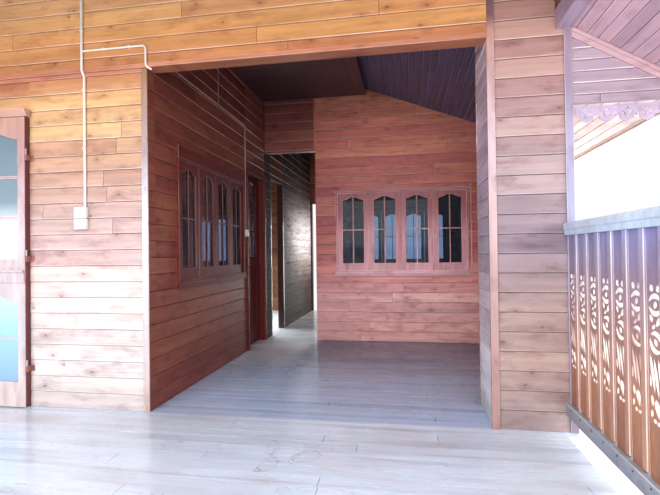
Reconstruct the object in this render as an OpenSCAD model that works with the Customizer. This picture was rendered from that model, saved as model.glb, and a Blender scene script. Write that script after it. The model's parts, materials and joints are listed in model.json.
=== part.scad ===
// A timber house on stilts with a roofed deck, an open corner porch and a through passage.
// Millimetres. X runs along the front wall, Y from the deck to the rear, Z up from the ground.

/* [House] */
// Height of the floor above the ground
floor_h = 2200; // [1800:50:2600]
// Width of the house across its outer walls
house_w = 6000; // [5800:20:6600]
// Depth of the rooms from the front wall to the rear wall
room_d = 5567; // [5400:1:6200]
// Depth of the roofed deck in front of the rooms
deck_d = 3633; // [3000:1:4200]
// Thickness of a boarded wall
wall_t = 90; // [80:2:110]
// Thickness of the floor boards
floor_t = 28; // [20:1:40]

/* [Porch and passage] */
// Width of the porch mouth between the front wall and the pier
mouth_w = 2287; // [2000:1:2400]
// Depth of the porch from the front wall to its back wall
porch_d = 2671; // [2500:1:2900]
// Width of the boxed pier at the corner of the porch
pier_w = 494; // [350:1:600]
// Depth of the boxed pier
pier_d = 459; // [350:1:600]
// Thickness of the pier's boarded sides
pier_t = 40; // [25:1:60]
// Width of the passage that runs to the rear
passage_w = 661; // [600:1:720]
// Least height of the underside of the boarded band over the porch mouth
mouth_head = 2411; // [2300:1:2430]
// How far that band stands proud of the wall below it
band_proud = 25; // [10:1:40]
// Underside of the wall over the passage mouth
passage_head = 2380; // [2200:1:2430]
// Underside of the wall over the rear doorway
rear_head = 2050; // [1950:1:2200]
// Height of the flat part of the porch ceiling
ceiling_h = 3046; // [2900:1:3100]
// Width of the flat part of the porch ceiling
flat_w = 1208; // [1000:1:1300]
// Width of the beam between the flat and the sloped ceiling
ceiling_beam_w = 103; // [80:1:150]
// Height at which the sloped ceiling starts above the flat one
slope_start = 69; // [30:1:90]
// Fall of the sloped ceiling in degrees
ceiling_fall = 21; // [20.8:0.1:23]
// Thickness of ceiling and soffit boards
lining_t = 15; // [10:1:20]

/* [Roof] */
// Least height of the wall plates over the underside of the porch band
plate_over = 24; // [24:1:200]
// Depth of the wall plates
plate_d = 120; // [120:1:160]
// Width of the wall plates
plate_w = 90; // [80:1:120]
// Roof pitch in degrees
roof_pitch = 31; // [31:0.5:35]
// Eaves beyond the outer walls
eave_out = 720; // [600:10:900]
// Roof beyond the deck front and the rear wall
gable_out = 500; // [350:10:700]
// Depth of a rafter
rafter_d = 110; // [90:1:140]
// Thickness of a rafter
rafter_t = 50; // [40:1:60]
// Rafter spaces over the deck
deck_bays = 5; // [4:1:7]
// Rafter spaces over the rooms
room_bays = 8; // [6:1:10]
// Depth of a purlin
purlin_d = 50; // [40:1:70]
// Width of a purlin
purlin_w = 50; // [40:1:70]
// Purlins on each slope
purlins_a_side = 7; // [5:1:9]
// Courses of roof sheets on each slope
courses = 4; // [3:1:6]
// Thickness of the upper edge of a course
sheet_t = 12; // [8:1:20]
// Step down from one course to the next
course_step = 18; // [10:1:30]
// Sheets past the fascia and the barge boards
sheet_lap = 50; // [30:5:80]
// Width of one side of the ridge cap
cap_w = 190; // [150:5:250]
// Thickness of the ridge cap
cap_t = 14; // [8:1:20]
// Thickness of fascia and barge boards
fascia_t = 25; // [18:1:35]

/* [Floor frame and stilts] */
// Side of a square stilt
stilt_s = 200; // [150:10:260]
// Side of a square footing
footing_s = 400; // [320:10:500]
// Height of a footing above the ground
footing_h = 250; // [150:10:350]
// Stilts across the house
stilt_columns = 3; // [3:1:4]
// Depth of a floor bearer
bearer_d = 200; // [160:5:240]
// Width of a floor bearer
bearer_w = 100; // [80:5:120]
// Depth of a floor joist
joist_d = 140; // [100:5:180]
// Width of a floor joist
joist_w = 60; // [45:5:75]
// Floor joists across the house
joists = 11; // [9:1:13]
// Side of a square deck post
post_s = 80; // [80:1:100]
// Distance of the two middle front posts from the centre line
post_x = 1000; // [900:10:1200]

/* [Windows] */
// Width of the window band in the back wall of the porch
back_bank_w = 1595; // [1500:1:1650]
// Left end of that band from the passage corner
back_bank_in = 258; // [200:1:300]
// Sill height of that band
back_sill = 846; // [800:1:900]
// Width of the window band in the side wall of the porch
side_bank_w = 1484; // [1400:1:1500]
// Start of that band from the front wall
side_bank_in = 405; // [350:1:420]
// Sill height of that band
side_sill = 868; // [800:1:900]
// Height of a window band
bank_h = 1005; // [950:1:1050]
// Width of the outer window bands
outer_bank_w = 1595; // [1400:1:1650]
// Sill height of the outer window bands
outer_sill = 850; // [800:1:900]
// Casements in a window band
casements = 4; // [3:1:4]
// Face width of the window frame
frame_f = 22; // [18:1:40]
// How far window and door frames stand proud of the wall
frame_proud = 14; // [8:1:20]
// Thickness of a casement
casement_t = 35; // [30:1:42]
// Gap between two casements
casement_gap = 4; // [2:1:8]
// Width of a casement stile
stile_w = 60; // [50:1:75]
// Height of a casement bottom rail
rail_h = 92; // [70:1:110]
// Height of a casement top rail at the crown of its arch
head_h = 42; // [30:1:60]
// Rise of the arched pane heads
arch_rise = 45; // [30:1:60]
// Thickness of the glass
glass_t = 5; // [4:1:8]

/* [Doors] */
// Width of the glazed double door in the front wall
double_w = 968; // [900:2:1100]
// Its right edge from the porch corner
double_in = 952; // [850:1:1050]
// Height of the double door
double_h = 2118; // [2050:1:2150]
// Thickness of a door leaf of the double door
double_t = 45; // [38:1:50]
// Gap between the wall and a leaf of the double door
double_off = 5; // [5:0.5:8]
// Height of the waist moulding on the double door
waist_h = 900; // [870:1:920]
// Depth of that moulding's band
waist_d = 100; // [80:1:110]
// How far the lower step of the waist moulding stands proud
waist_step = 12; // [8:1:16]
// How far its upper step stands proud
waist_out = 25; // [18:1:32]
// Foot of the upper panes of the double door
upper_pane_z = 1080; // [1060:1:1100]
// Height of the upper panes
upper_pane_h = 920; // [880:1:940]
// Foot of the lower panes of the double door
lower_pane_z = 188; // [150:1:220]
// Height of the lower panes
lower_pane_h = 622; // [580:1:640]
// Height of the cornice over the double door
cornice_h = 60; // [40:1:80]
// Width of the side door opening
side_door_w = 676; // [640:1:720]
// Start of the side door opening from the front wall
side_door_in = 1981; // [1975:1:2000]
// Height of the side door opening
side_door_h = 2075; // [2000:1:2120]
// Thickness of the side door leaf
side_door_t = 35; // [30:1:40]
// Width of the side door's stiles beside its pane
side_stile = 105; // [90:1:120]
// Foot of the side door's pane
side_pane_z = 1050; // [1000:1:1100]
// Depth of its sunk panels
panel_sink = 9; // [6:1:12]
// Width of the stops on the side door frame
stop_w = 12; // [8:1:20]
// Width of the door frame jambs
jamb_w = 38; // [30:1:45]
// Clear gap round a door leaf
door_gap = 7; // [7:0.5:9]
// Width of the inner doorways
doorway_w = 640; // [600:1:680]
// Wall between the side door and the inner doorway
doorway_in = 260; // [200:1:300]
// Height of the inner doorways
doorway_h = 2130; // [2050:1:2200]
// Thickness of the doorway linings
doorway_lining = 30; // [20:1:40]
// Radius of a hinge knuckle
knuckle_r = 7; // [6:0.5:8]
// Height of a hinge knuckle
knuckle_h = 42; // [35:1:60]
// Radius of a hinge pin
pin_r = 3.5; // [3:0.1:4]

/* [Balustrade and trim] */
// Top of the handrail above the floor
hand_top = 1259; // [1000:1:1300]
// Depth of the rails
rail_d = 75; // [60:1:90]
// Top of the bottom rail above the floor
foot_top = 179; // [150:1:220]
// Width of the rails
rail_w = 60; // [45:1:70]
// Spacing of the pierced boards
baluster_pitch = 147; // [130:1:170]
// Width of a pierced board
baluster_w = 116; // [100:1:122]
// Thickness of a pierced board
baluster_t = 16; // [12:1:22]
// Length of the pierced scroll
scroll_h = 540; // [480:5:600]
// Thickness of the wing panels
wing_t = 30; // [20:1:40]
// Underside of the wing panels above the floor
wing_bottom = 1977; // [1900:1:1990]
// Depth of the rake trim on a wing panel
rake_d = 58; // [40:1:80]
// Length of the hanging fretwork
fret_h = 116; // [90:1:140]
// Spacing of the fretwork pendants
fret_pitch = 116; // [100:1:140]
// Width of the corner boards
corner_w = 46; // [40:1:60]
// Thickness of the corner boards
corner_t = 12; // [8:1:18]

/* [Wall conduit] */
// Radius of the conduit
conduit_r = 9; // [6:0.5:12]
// Side of a socket box
socket_s = 98; // [80:1:110]
// Height of a socket box
socket_h = 82; // [70:1:95]
// Depth of a socket box
socket_d = 34; // [25:1:45]
// Foot of the lower socket box above the floor
socket_z = 1285; // [1200:1:1350]
// Conduit line from the porch corner
conduit_in = 519; // [450:1:560]
// Reach of the conduit above the underside of the band
conduit_rise = 700; // [300:10:800]
// Height of its branch above the underside of the band
branch_rise = 150; // [100:1:200]
// Distance of the switch from the side door
switch_in = 40; // [30:1:80]

/* [Hidden] */
x_out = house_w / 2;
y_deck = -(room_d + deck_d) / 2;
y_rear = -y_deck;
y_front = y_deck + deck_d;
y_back = y_front + porch_d;
x_pier = x_out - pier_w;
x_side = x_pier - mouth_w;
x_pass = x_side + passage_w;
x_in = x_out - wall_t;
x_plate = x_out - plate_w;
x_eave = x_out + eave_out;
y_gable = y_rear + gable_out;
x_flat = x_side + flat_w;
x_slope = x_flat + ceiling_beam_w;
pitch_tan = tan(roof_pitch);
pitch_cos = cos(roof_pitch);
y_side_door = y_front + side_door_in;
y_doorway = y_side_door + side_door_w + doorway_in;
x_double_r = x_side - double_in;
x_double_l = x_double_r - double_w;
y_mid_post = (y_deck + y_front) / 2;
rail_inset = (post_s - rail_w) / 2;
joist_z = -floor_t - joist_d;
bearer_z = joist_z - bearer_d;
knuckle_off = knuckle_r + 1;
hinge_t = 3;
// Gap between the side door's leaf and its jamb at the hinges
hinge_gap = 3;
hinge_play = 0.3;
hinge_heights = [260, 1060, 1800];
leaf_lift = 8;
pane_seat = 0.3;
wing_end = x_eave - fascia_t;
frame_steps = 12;
// Clearance between sloping faces that rest on one another
seat_gap = 0.2;
// Half of the ridge board, against which the rafters end
ridge_half = rafter_t / 2;
roof_edge = x_eave + sheet_lap;
course_w = roof_edge / courses;

function slope_ceiling(x) = ceiling_h + slope_start - tan(ceiling_fall) * (x - x_slope);

// The band's underside stays over the cornice of the double door
cornice_clear = 20;
band_z = max(mouth_head, double_h + cornice_h + cornice_clear);

// The plates lie over the band, and high enough for the sloped ceiling to pass under the rafters
ceiling_clear = 8;
plate_h = max(band_z + plate_over,
              slope_ceiling(x_in) + lining_t + ceiling_clear - plate_d - pitch_tan * wall_t);

function under_rafter(x) = plate_h + plate_d + pitch_tan * (x_out - abs(x));
function over_rafter(x) = under_rafter(x) + rafter_d / pitch_cos;
function under_purlin(x) = over_rafter(x) + seat_gap;
function over_purlin(x) = under_purlin(x) + purlin_d / pitch_cos;
function under_sheet(x) = over_purlin(x) + seat_gap;
function under_soffit(x) = plate_h - pitch_tan * (abs(x) - x_out);
function over_soffit(x) = under_soffit(x) + lining_t / pitch_cos;
// Top of a wall that ends under the rafters and the ridge board
function wall_top(x) = under_rafter(max(abs(x), ridge_half)) - seat_gap;

rafter_rows = concat(
    [for (i = [0:deck_bays]) y_deck + wall_t / 2 + i * (deck_d / deck_bays)],
    [for (i = [1:room_bays]) y_front + wall_t / 2 + i * (room_d - wall_t) / room_bays]);
bearer_rows = concat(
    [y_deck + bearer_w / 2, y_mid_post],
    [for (i = [0:3]) y_front + wall_t / 2 + i * (y_rear - bearer_w / 2 - y_front - wall_t / 2) / 3]);
stilt_rows = [for (i = [0:stilt_columns - 1])
    (x_out - stilt_s / 2) * (2 * i / (stilt_columns - 1) - 1)];
purlin_rows = [for (i = [0:purlins_a_side - 1])
    purlin_w * 1.5 + i * (wing_end - purlin_w * 2) / (purlins_a_side - 1)];

// A box given by its lowest and highest corners, heights above the floor
module block(a, b) {
    translate([a[0], a[1], floor_h + a[2]])
        cube([b[0] - a[0], b[1] - a[1], b[2] - a[2]]);
}

// A profile in X and height above the floor, drawn out along Y
module along_y(points, y0, y1) {
    translate([0, y1, floor_h])
        rotate([90, 0, 0])
            linear_extrude(y1 - y0)
                polygon(points);
}

// A profile in Y and height above the floor, drawn out along X
module along_x(points, x0, x1) {
    translate([x0, 0, floor_h])
        rotate([90, 0, 90])
            linear_extrude(x1 - x0)
                polygon(points);
}

module both_sides() {
    children();
    mirror([1, 0, 0])
        children();
}

// Floor frame and stilts
module footings() {
    color("gray")
        for (x = stilt_rows, y = bearer_rows)
            translate([x - sign(x) * (footing_s - stilt_s) / 4 - footing_s / 2, y - footing_s / 2, 0])
                cube([footing_s, footing_s, footing_h]);
}

module stilts() {
    color("darkgray")
        for (x = stilt_rows, y = bearer_rows)
            translate([x - stilt_s / 2, y - stilt_s / 2, footing_h])
                cube([stilt_s, stilt_s, floor_h + bearer_z - footing_h]);
}

module floor_bearers() {
    color("saddlebrown")
        for (y = bearer_rows)
            block([-x_out, y - bearer_w / 2, bearer_z], [x_out, y + bearer_w / 2, joist_z]);
}

module floor_joists() {
    reach = x_out - post_s - joist_w / 2;
    color("peru")
        for (i = [0:joists - 1]) {
            x = reach * (2 * i / (joists - 1) - 1);
            block([x - joist_w / 2, y_deck, joist_z], [x + joist_w / 2, y_rear, -floor_t]);
        }
}

module deck_floor() {
    edge = x_out - post_s;
    color("lightslategray")
        block([-edge, y_deck, -floor_t], [edge, y_front, 0]);
}

module house_floor() {
    color("slategray")
        block([-x_out, y_front, -floor_t], [x_out, y_rear, 0]);
}

// Outline of a pane with an arched head, crown in the middle and hollow shoulders
function pane_outline(w, h, inset) = concat(
    [[inset, inset], [w - inset, inset]],
    [for (i = [frame_steps:-1:0])
        [inset + (w - 2 * inset) * i / frame_steps,
         h - arch_rise - inset + arch_rise * (1 - cos(360 * i / frame_steps)) / 2]]);

// Upright plate from a flat outline: width along X, height along Z, thickness along Y
module upright(t) {
    translate([0, t, 0])
        rotate([90, 0, 0])
            linear_extrude(t)
                children();
}

// Places a thing drawn with its outer face at Y 0 on one of the walls
module on_back_wall() {
    translate([x_pass + back_bank_in, y_back, floor_h + back_sill])
        children();
}

module on_side_wall() {
    translate([x_side, y_front + side_bank_in, floor_h + side_sill])
        rotate([0, 0, 90])
            children();
}

left_banks = [(y_front + y_rear) / 2 - room_d / 4, (y_front + y_rear) / 2 + room_d / 4];
right_bank = (y_back + y_rear) / 2;
rear_banks = [(x_side - x_out) / 2, (x_pass + x_out) / 2];

module on_outer_walls() {
    for (y = left_banks)
        translate([-x_out, y + outer_bank_w / 2, floor_h + outer_sill])
            rotate([0, 0, -90])
                children();
    translate([x_out, right_bank - outer_bank_w / 2, floor_h + outer_sill])
        rotate([0, 0, 90])
            children();
    for (x = rear_banks)
        translate([x + outer_bank_w / 2, y_rear, floor_h + outer_sill])
            rotate([0, 0, 180])
                children();
}

module bank_hole(w) {
    translate([0, -band_proud, 0])
        cube([w, wall_t + 2 * band_proud, bank_h]);
}

module bank_frame(w) {
    difference() {
        translate([0, -frame_proud, 0])
            cube([w, wall_t + 2 * frame_proud, bank_h]);
        translate([frame_f, -2 * frame_proud, frame_f])
            cube([w - 2 * frame_f, wall_t + 4 * frame_proud, bank_h - 2 * frame_f]);
    }
}

module sill_board(w) {
    translate([-frame_proud, -2 * frame_proud, -frame_f * 2])
        cube([w + 2 * frame_proud, 2 * frame_proud, frame_f * 2]);
}

function casement_w(w) = (w - 2 * frame_f - (casements - 1) * casement_gap) / casements;

module each_casement(w) {
    cw = casement_w(w);
    for (i = [0:casements - 1])
        translate([frame_f + i * (cw + casement_gap), 0, frame_f])
            children();
}

module bank_casements(w) {
    cw = casement_w(w);
    ch = bank_h - 2 * frame_f;
    each_casement(w)
        upright(casement_t)
            difference() {
                square([cw, ch]);
                translate([stile_w, rail_h])
                    polygon(pane_outline(cw - 2 * stile_w, ch - rail_h - head_h, 0));
            }
}

module bank_glass(w) {
    cw = casement_w(w);
    ch = bank_h - 2 * frame_f;
    each_casement(w)
        translate([stile_w, (casement_t - glass_t) / 2, rail_h])
            upright(glass_t)
                polygon(pane_outline(cw - 2 * stile_w, ch - rail_h - head_h, pane_seat));
}

// Walls
module front_wall() {
    color("sandybrown") {
        block([-x_out, y_front, 0], [x_double_l, y_front + wall_t, band_z]);
        block([x_double_r, y_front, 0], [x_side, y_front + wall_t, band_z]);
    }
}

// Outline of a gable wall between the plates, from the height z0 up
function gable_points(z0) = [
    [-x_plate, z0], [x_plate, z0], [x_plate, wall_top(x_plate)], [ridge_half, wall_top(0)],
    [-ridge_half, wall_top(0)], [-x_plate, wall_top(x_plate)]];

module front_gable() {
    color("burlywood")
        along_y([[-x_out, band_z], [x_pier, band_z], [x_pier, wall_top(x_pier)],
                 [ridge_half, wall_top(0)], [-ridge_half, wall_top(0)], [-x_plate, wall_top(x_plate)],
                 [-x_plate, plate_h], [-x_out, plate_h]],
                y_front - band_proud, y_front + wall_t);
}

module corner_pier() {
    color("rosybrown")
        difference() {
            along_y([[x_pier, 0], [x_out, 0], [x_out, plate_h], [x_plate, plate_h],
                     [x_plate, wall_top(x_plate)], [x_pier, wall_top(x_pier)]],
                    y_front, y_front + pier_d);
            block([x_pier + pier_t, y_front + pier_t, 0],
                  [x_out - pier_t, y_front + pier_d - pier_t, plate_h - pier_t]);
        }
}

module porch_side_wall() {
    color("sienna")
        difference() {
            block([x_side - wall_t, y_front + wall_t, 0],
                  [x_side, y_side_door, ceiling_h + lining_t]);
            on_side_wall()
                bank_hole(side_bank_w);
        }
}

module porch_side_wall_rear() {
    color("sienna") {
        block([x_side - wall_t, y_side_door + side_door_w, 0],
              [x_side, y_doorway, ceiling_h + lining_t]);
        block([x_side - wall_t, y_doorway + doorway_w, 0],
              [x_side, y_rear - wall_t, ceiling_h + lining_t]);
    }
}

module porch_back_wall() {
    color("indianred")
        difference() {
            along_y([[x_pass, 0], [x_in, 0], [x_in, plate_h], [x_plate, plate_h],
                     [x_plate, wall_top(x_plate)], [x_pass, wall_top(x_pass)]],
                    y_back, y_back + wall_t);
            on_back_wall()
                bank_hole(back_bank_w);
        }
}

module passage_wall() {
    color("sienna") {
        block([x_pass, y_back + wall_t, 0], [x_pass + wall_t, y_doorway, ceiling_h + lining_t]);
        block([x_pass, y_doorway + doorway_w, 0],
              [x_pass + wall_t, y_rear - wall_t, ceiling_h + lining_t]);
    }
}

module walls_over_doors() {
    color("chocolate") {
        block([x_double_l, y_front, double_h], [x_double_r, y_front + wall_t, band_z]);
        block([x_side - wall_t, y_side_door, side_door_h],
              [x_side, y_side_door + side_door_w, ceiling_h + lining_t]);
        block([x_side - wall_t, y_doorway, doorway_h],
              [x_side, y_doorway + doorway_w, ceiling_h + lining_t]);
        block([x_pass, y_doorway, doorway_h],
              [x_pass + wall_t, y_doorway + doorway_w, ceiling_h + lining_t]);
        along_y([[x_side, passage_head], [x_pass, passage_head],
                 [x_pass, wall_top(x_pass)], [x_side, wall_top(x_side)]],
                y_back, y_back + wall_t);
        block([x_side, y_rear - wall_t, rear_head], [x_pass, y_rear, plate_h]);
    }
}

module left_wall() {
    color("peru")
        difference() {
            block([-x_out, y_front + wall_t, 0], [-x_in, y_rear - wall_t, plate_h]);
            on_outer_walls()
                bank_hole(outer_bank_w);
        }
}

module right_wall() {
    color("peru")
        difference() {
            block([x_in, y_front + pier_d, 0], [x_out, y_rear - wall_t, plate_h]);
            on_outer_walls()
                bank_hole(outer_bank_w);
        }
}

module rear_wall() {
    color("peru")
        difference() {
            union() {
                block([-x_out, y_rear - wall_t, 0], [x_side, y_rear, plate_h]);
                block([x_pass, y_rear - wall_t, 0], [x_out, y_rear, plate_h]);
            }
            on_outer_walls()
                bank_hole(outer_bank_w);
        }
}

module rear_gable() {
    color("burlywood")
        along_y(gable_points(plate_h), y_rear - wall_t, y_rear);
}

module deck_gable() {
    color("burlywood")
        along_y(gable_points(plate_h + plate_d), y_deck, y_deck + wall_t);
}

module corner_boards() {
    color("tan") {
        block([x_side - corner_w, y_front - corner_t, 0], [x_side, y_front, band_z]);
        block([x_pier, y_front - corner_t, 0], [x_pier + corner_w, y_front, wall_top(x_pier + corner_w)]);
        block([x_out - corner_w, y_front - corner_t, 0], [x_out, y_front, plate_h]);
    }
}

// Roof
module deck_posts() {
    color("peru") {
        both_sides() {
            block([x_out - post_s, y_deck, joist_z], [x_out, y_deck + post_s, plate_h]);
            block([x_out - post_s, y_mid_post - post_s / 2, joist_z],
                  [x_out, y_mid_post + post_s / 2, plate_h]);
            block([post_x - post_s / 2, y_deck, 0], [post_x + post_s / 2, y_deck + post_s, plate_h]);
        }
    }
}

module wall_plates() {
    color("saddlebrown")
        both_sides()
            block([x_plate, y_deck, plate_h], [x_out, y_rear, plate_h + plate_d]);
}

module tie_beams() {
    color("saddlebrown") {
        block([-x_plate, y_deck, plate_h], [x_plate, y_deck + wall_t, plate_h + plate_d]);
        block([-x_plate, y_mid_post - plate_w / 2, plate_h],
              [x_plate, y_mid_post + plate_w / 2, plate_h + plate_d]);
        block([-plate_w / 2, y_mid_post - plate_w / 2, plate_h + plate_d],
              [plate_w / 2, y_mid_post + plate_w / 2, wall_top(0)]);
    }
}

module rafters() {
    color("sienna")
        both_sides()
            for (y = rafter_rows)
                along_y([[ridge_half, under_rafter(ridge_half)], [x_plate, under_rafter(x_plate)],
                         [x_plate, plate_h + plate_d], [x_out, plate_h + plate_d],
                         [x_out, over_soffit(x_out)], [wing_end, over_soffit(wing_end)],
                         [wing_end, over_rafter(wing_end)], [ridge_half, over_rafter(ridge_half)]],
                        y - rafter_t / 2, y + rafter_t / 2);
}

module purlins() {
    color("peru") {
        block([-ridge_half, -y_gable, under_rafter(ridge_half)],
              [ridge_half, y_gable, over_rafter(ridge_half)]);
        both_sides()
            for (x = purlin_rows) {
                x0 = x - purlin_w / 2;
                x1 = x + purlin_w / 2;
                along_y([[x0, under_purlin(x0)], [x1, under_purlin(x1)],
                         [x1, over_purlin(x1)], [x0, over_purlin(x0)]], -y_gable, y_gable);
            }
    }
}

// One slope of lapped roof sheets, a straight underside and a stepped top
module roof_slope() {
    along_y(concat(
        [[roof_edge, under_sheet(roof_edge)], [0, under_sheet(0)]],
        [for (i = [0:courses - 1], low = [0, 1])
            [course_w * (i + low), under_sheet(course_w * (i + low)) + sheet_t + low * course_step]]),
        -y_gable - fascia_t - sheet_lap, y_gable + fascia_t + sheet_lap);
}

module roof_right() {
    color("firebrick")
        roof_slope();
}

module roof_left() {
    color("firebrick")
        mirror([1, 0, 0])
            roof_slope();
}

module ridge_cap() {
    crown = under_sheet(0) + sheet_t + seat_gap;
    foot = under_sheet(cap_w) + sheet_t + course_step * cap_w / course_w + seat_gap;
    color("darkred")
        along_y([[0, crown], [cap_w, foot], [cap_w, foot + cap_t], [0, crown + cap_t / pitch_cos],
                 [-cap_w, foot + cap_t], [-cap_w, foot]],
                -y_gable - fascia_t - sheet_lap, y_gable + fascia_t + sheet_lap);
}

module eave_soffits() {
    color("thistle")
        both_sides()
            along_y([[x_out, under_soffit(x_out)], [wing_end, under_soffit(wing_end)],
                     [wing_end, over_soffit(wing_end)], [x_out, over_soffit(x_out)]],
                    -y_gable, y_gable);
}

module eave_fascias() {
    color("rosybrown")
        both_sides()
            block([wing_end, -y_gable, under_soffit(x_eave)],
                  [x_eave, y_gable, over_rafter(x_eave)]);
}

module barge_boards() {
    color("rosybrown")
        for (y = [-y_gable - fascia_t, y_gable])
            along_y([[0, under_soffit(0)], [x_eave, under_soffit(x_eave)],
                     [x_eave, over_purlin(x_eave)], [0, over_purlin(0)],
                     [-x_eave, over_purlin(x_eave)], [-x_eave, under_soffit(x_eave)]],
                    y, y + fascia_t);
}

// Boarded panels that close the eaves in line with the front wall, under a two-step rake trim
module wing_panels() {
    color("thistle")
        both_sides() {
            along_y([[x_out, wing_bottom], [wing_end, wing_bottom],
                     [wing_end, under_soffit(wing_end)], [x_out, under_soffit(x_out)]],
                    y_front, y_front + wing_t);
            along_y([[x_out, under_soffit(x_out) - rake_d], [wing_end, under_soffit(wing_end) - rake_d],
                     [wing_end, under_soffit(wing_end)], [x_out, under_soffit(x_out)]],
                    y_front - corner_t, y_front);
        }
}

// A leaf shape: two arcs that meet in points, centred, long axis along Y
function leaf(len, wid) = [for (i = [0:7])
    let (a = 45 * i) [wid / 2 * sin(a) * abs(sin(a)), len / 2 * cos(a)]];

// A crescent that turns about its centre
function crescent(r, wid, a0, a1) = concat(
    [for (i = [0:6]) let (a = a0 + (a1 - a0) * i / 6) r * [cos(a), sin(a)]],
    [for (i = [5:-1:1]) let (a = a0 + (a1 - a0) * i / 6)
        (r - wid * sin(180 * i / 6)) * [cos(a), sin(a)]]);

module fret_motif() {
    w = fret_pitch;
    difference() {
        polygon(concat([[0, 0], [w, 0]],
            [for (i = [12:-1:0]) let (t = i / 12)
                [w * t, -fret_h * (0.45 + 0.55 * pow(sin(180 * t), 3)
                    - 0.12 * pow(sin(540 * t), 2))]]));
        for (s = [-1, 1])
            translate([w / 2 + s * w * 0.17, -fret_h * 0.42])
                rotate(s * 28)
                    polygon(leaf(fret_h * 0.42, w * 0.16));
        translate([w / 2, -fret_h * 0.17])
            polygon(leaf(fret_h * 0.14, w * 0.18));
    }
}

module wing_fretwork() {
    n = floor((wing_end - x_out) / fret_pitch);
    color("plum")
        both_sides()
            translate([x_out, y_front + wing_t / 2 - baluster_t / 2, floor_h + wing_bottom])
                upright(baluster_t)
                    union() {
                        for (i = [0:n - 1])
                            translate([i * fret_pitch, 0])
                                fret_motif();
                        translate([0, -fret_h * 0.12])
                            square([n * fret_pitch, fret_h * 0.12]);
                    }
}

// Ceilings over the porch and the passage
module ceiling_flat() {
    color("maroon") {
        block([x_side, y_front + wall_t, ceiling_h], [x_flat, y_back, ceiling_h + lining_t]);
        block([x_side, y_back + wall_t, ceiling_h], [x_pass, y_rear - wall_t, ceiling_h + lining_t]);
    }
}

module ceiling_slope() {
    color("maroon")
        along_y([[x_slope, slope_ceiling(x_slope)], [x_in, slope_ceiling(x_in)],
                 [x_in, slope_ceiling(x_in) + lining_t], [x_slope, slope_ceiling(x_slope) + lining_t]],
                y_front + pier_d, y_back);
}

module ceiling_beam() {
    color("saddlebrown")
        block([x_flat, y_front + wall_t, ceiling_h],
              [x_slope, y_back, ceiling_h + slope_start + 4 * lining_t]);
}

// Windows
module porch_window_frames() {
    color("indianred") {
        on_back_wall() {
            bank_frame(back_bank_w);
            sill_board(back_bank_w);
        }
        on_side_wall() {
            bank_frame(side_bank_w);
            sill_board(side_bank_w);
        }
    }
}

module porch_casements() {
    color("rosybrown") {
        on_back_wall()
            bank_casements(back_bank_w);
        on_side_wall()
            bank_casements(side_bank_w);
    }
}

module porch_window_glass() {
    color("darkslategray") {
        on_back_wall()
            bank_glass(back_bank_w);
        on_side_wall()
            bank_glass(side_bank_w);
    }
}

module outer_window_frames() {
    color("indianred")
        on_outer_walls() {
            bank_frame(outer_bank_w);
            sill_board(outer_bank_w);
        }
}

module outer_casements() {
    color("rosybrown")
        on_outer_walls()
            bank_casements(outer_bank_w);
}

module outer_window_glass() {
    color("darkslategray")
        on_outer_walls()
            bank_glass(outer_bank_w);
}

// Doors
double_leaf_w = (double_w - door_gap - 1) / 2;
leaf_face = y_front - double_off - double_t;

module mirror_double() {
    translate([x_double_l + x_double_r, 0, 0])
        mirror([1, 0, 0])
            children();
}

module double_pane(h, inset) {
    translate([stile_w, 0])
        polygon(pane_outline(double_leaf_w - 2 * stile_w, h, inset));
}

// A lift-off hinge turns about a pin that stands on the fixed knuckle
module knuckle(bore) {
    difference() {
        cylinder(r = knuckle_r, h = knuckle_h, $fn = 32);
        if (bore)
            translate([0, 0, -1])
                cylinder(r = pin_r + 0.1, h = knuckle_h - knuckle_r + 1, $fn = 32);
    }
}

module pin() {
    cylinder(r = pin_r, h = knuckle_h * 2 - knuckle_r - 1, $fn = 32);
}

// The right leaf hangs on the front of the wall, so its hinges stand beside it
module double_hinges_fixed() {
    reach = double_off + double_t - knuckle_off;
    for (z = hinge_heights)
        translate([x_double_r + knuckle_off, leaf_face + knuckle_off, floor_h + z]) {
            knuckle(false);
            pin();
            translate([-hinge_t / 2, 0, 0])
                cube([hinge_t, reach, knuckle_h]);
            translate([-hinge_t / 2, reach - hinge_t, 0])
                cube([4 * knuckle_r, hinge_t, knuckle_h]);
        }
}

module double_hinges_leaf() {
    for (z = hinge_heights)
        translate([x_double_r + knuckle_off, leaf_face + knuckle_off,
                   floor_h + z + knuckle_h + hinge_play]) {
            knuckle(true);
            difference() {
                translate([-knuckle_off - 1, -hinge_t / 2, 0])
                    cube([knuckle_off + 1, hinge_t, knuckle_h]);
                translate([0, 0, -1])
                    cylinder(r = knuckle_r - 1, h = knuckle_h + 2, $fn = 32);
            }
        }
}

// A waist moulding with a chamfered foot, a flat band and a stepped-out top
module double_leaf() {
    top = waist_h + waist_d;
    step = leaf_face - waist_step;
    nose = leaf_face - waist_out;
    translate([x_double_r - double_leaf_w, leaf_face, floor_h])
        upright(double_t)
            difference() {
                translate([0, leaf_lift])
                    square([double_leaf_w, double_h - leaf_lift]);
                translate([0, upper_pane_z])
                    double_pane(upper_pane_h, 0);
                translate([0, lower_pane_z])
                    double_pane(lower_pane_h, 0);
            }
    along_x([[leaf_face, waist_h], [step, waist_h + waist_step],
             [step, top - waist_out], [nose, top - waist_step],
             [nose, top], [leaf_face, top]],
            x_double_r - double_leaf_w, x_double_r);
    double_hinges_leaf();
}

module double_glass() {
    translate([x_double_r - double_leaf_w, leaf_face + (double_t - glass_t) / 2, floor_h])
        upright(glass_t)
            union() {
                translate([0, upper_pane_z])
                    double_pane(upper_pane_h, pane_seat);
                translate([0, lower_pane_z])
                    double_pane(lower_pane_h, pane_seat);
            }
}

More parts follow.
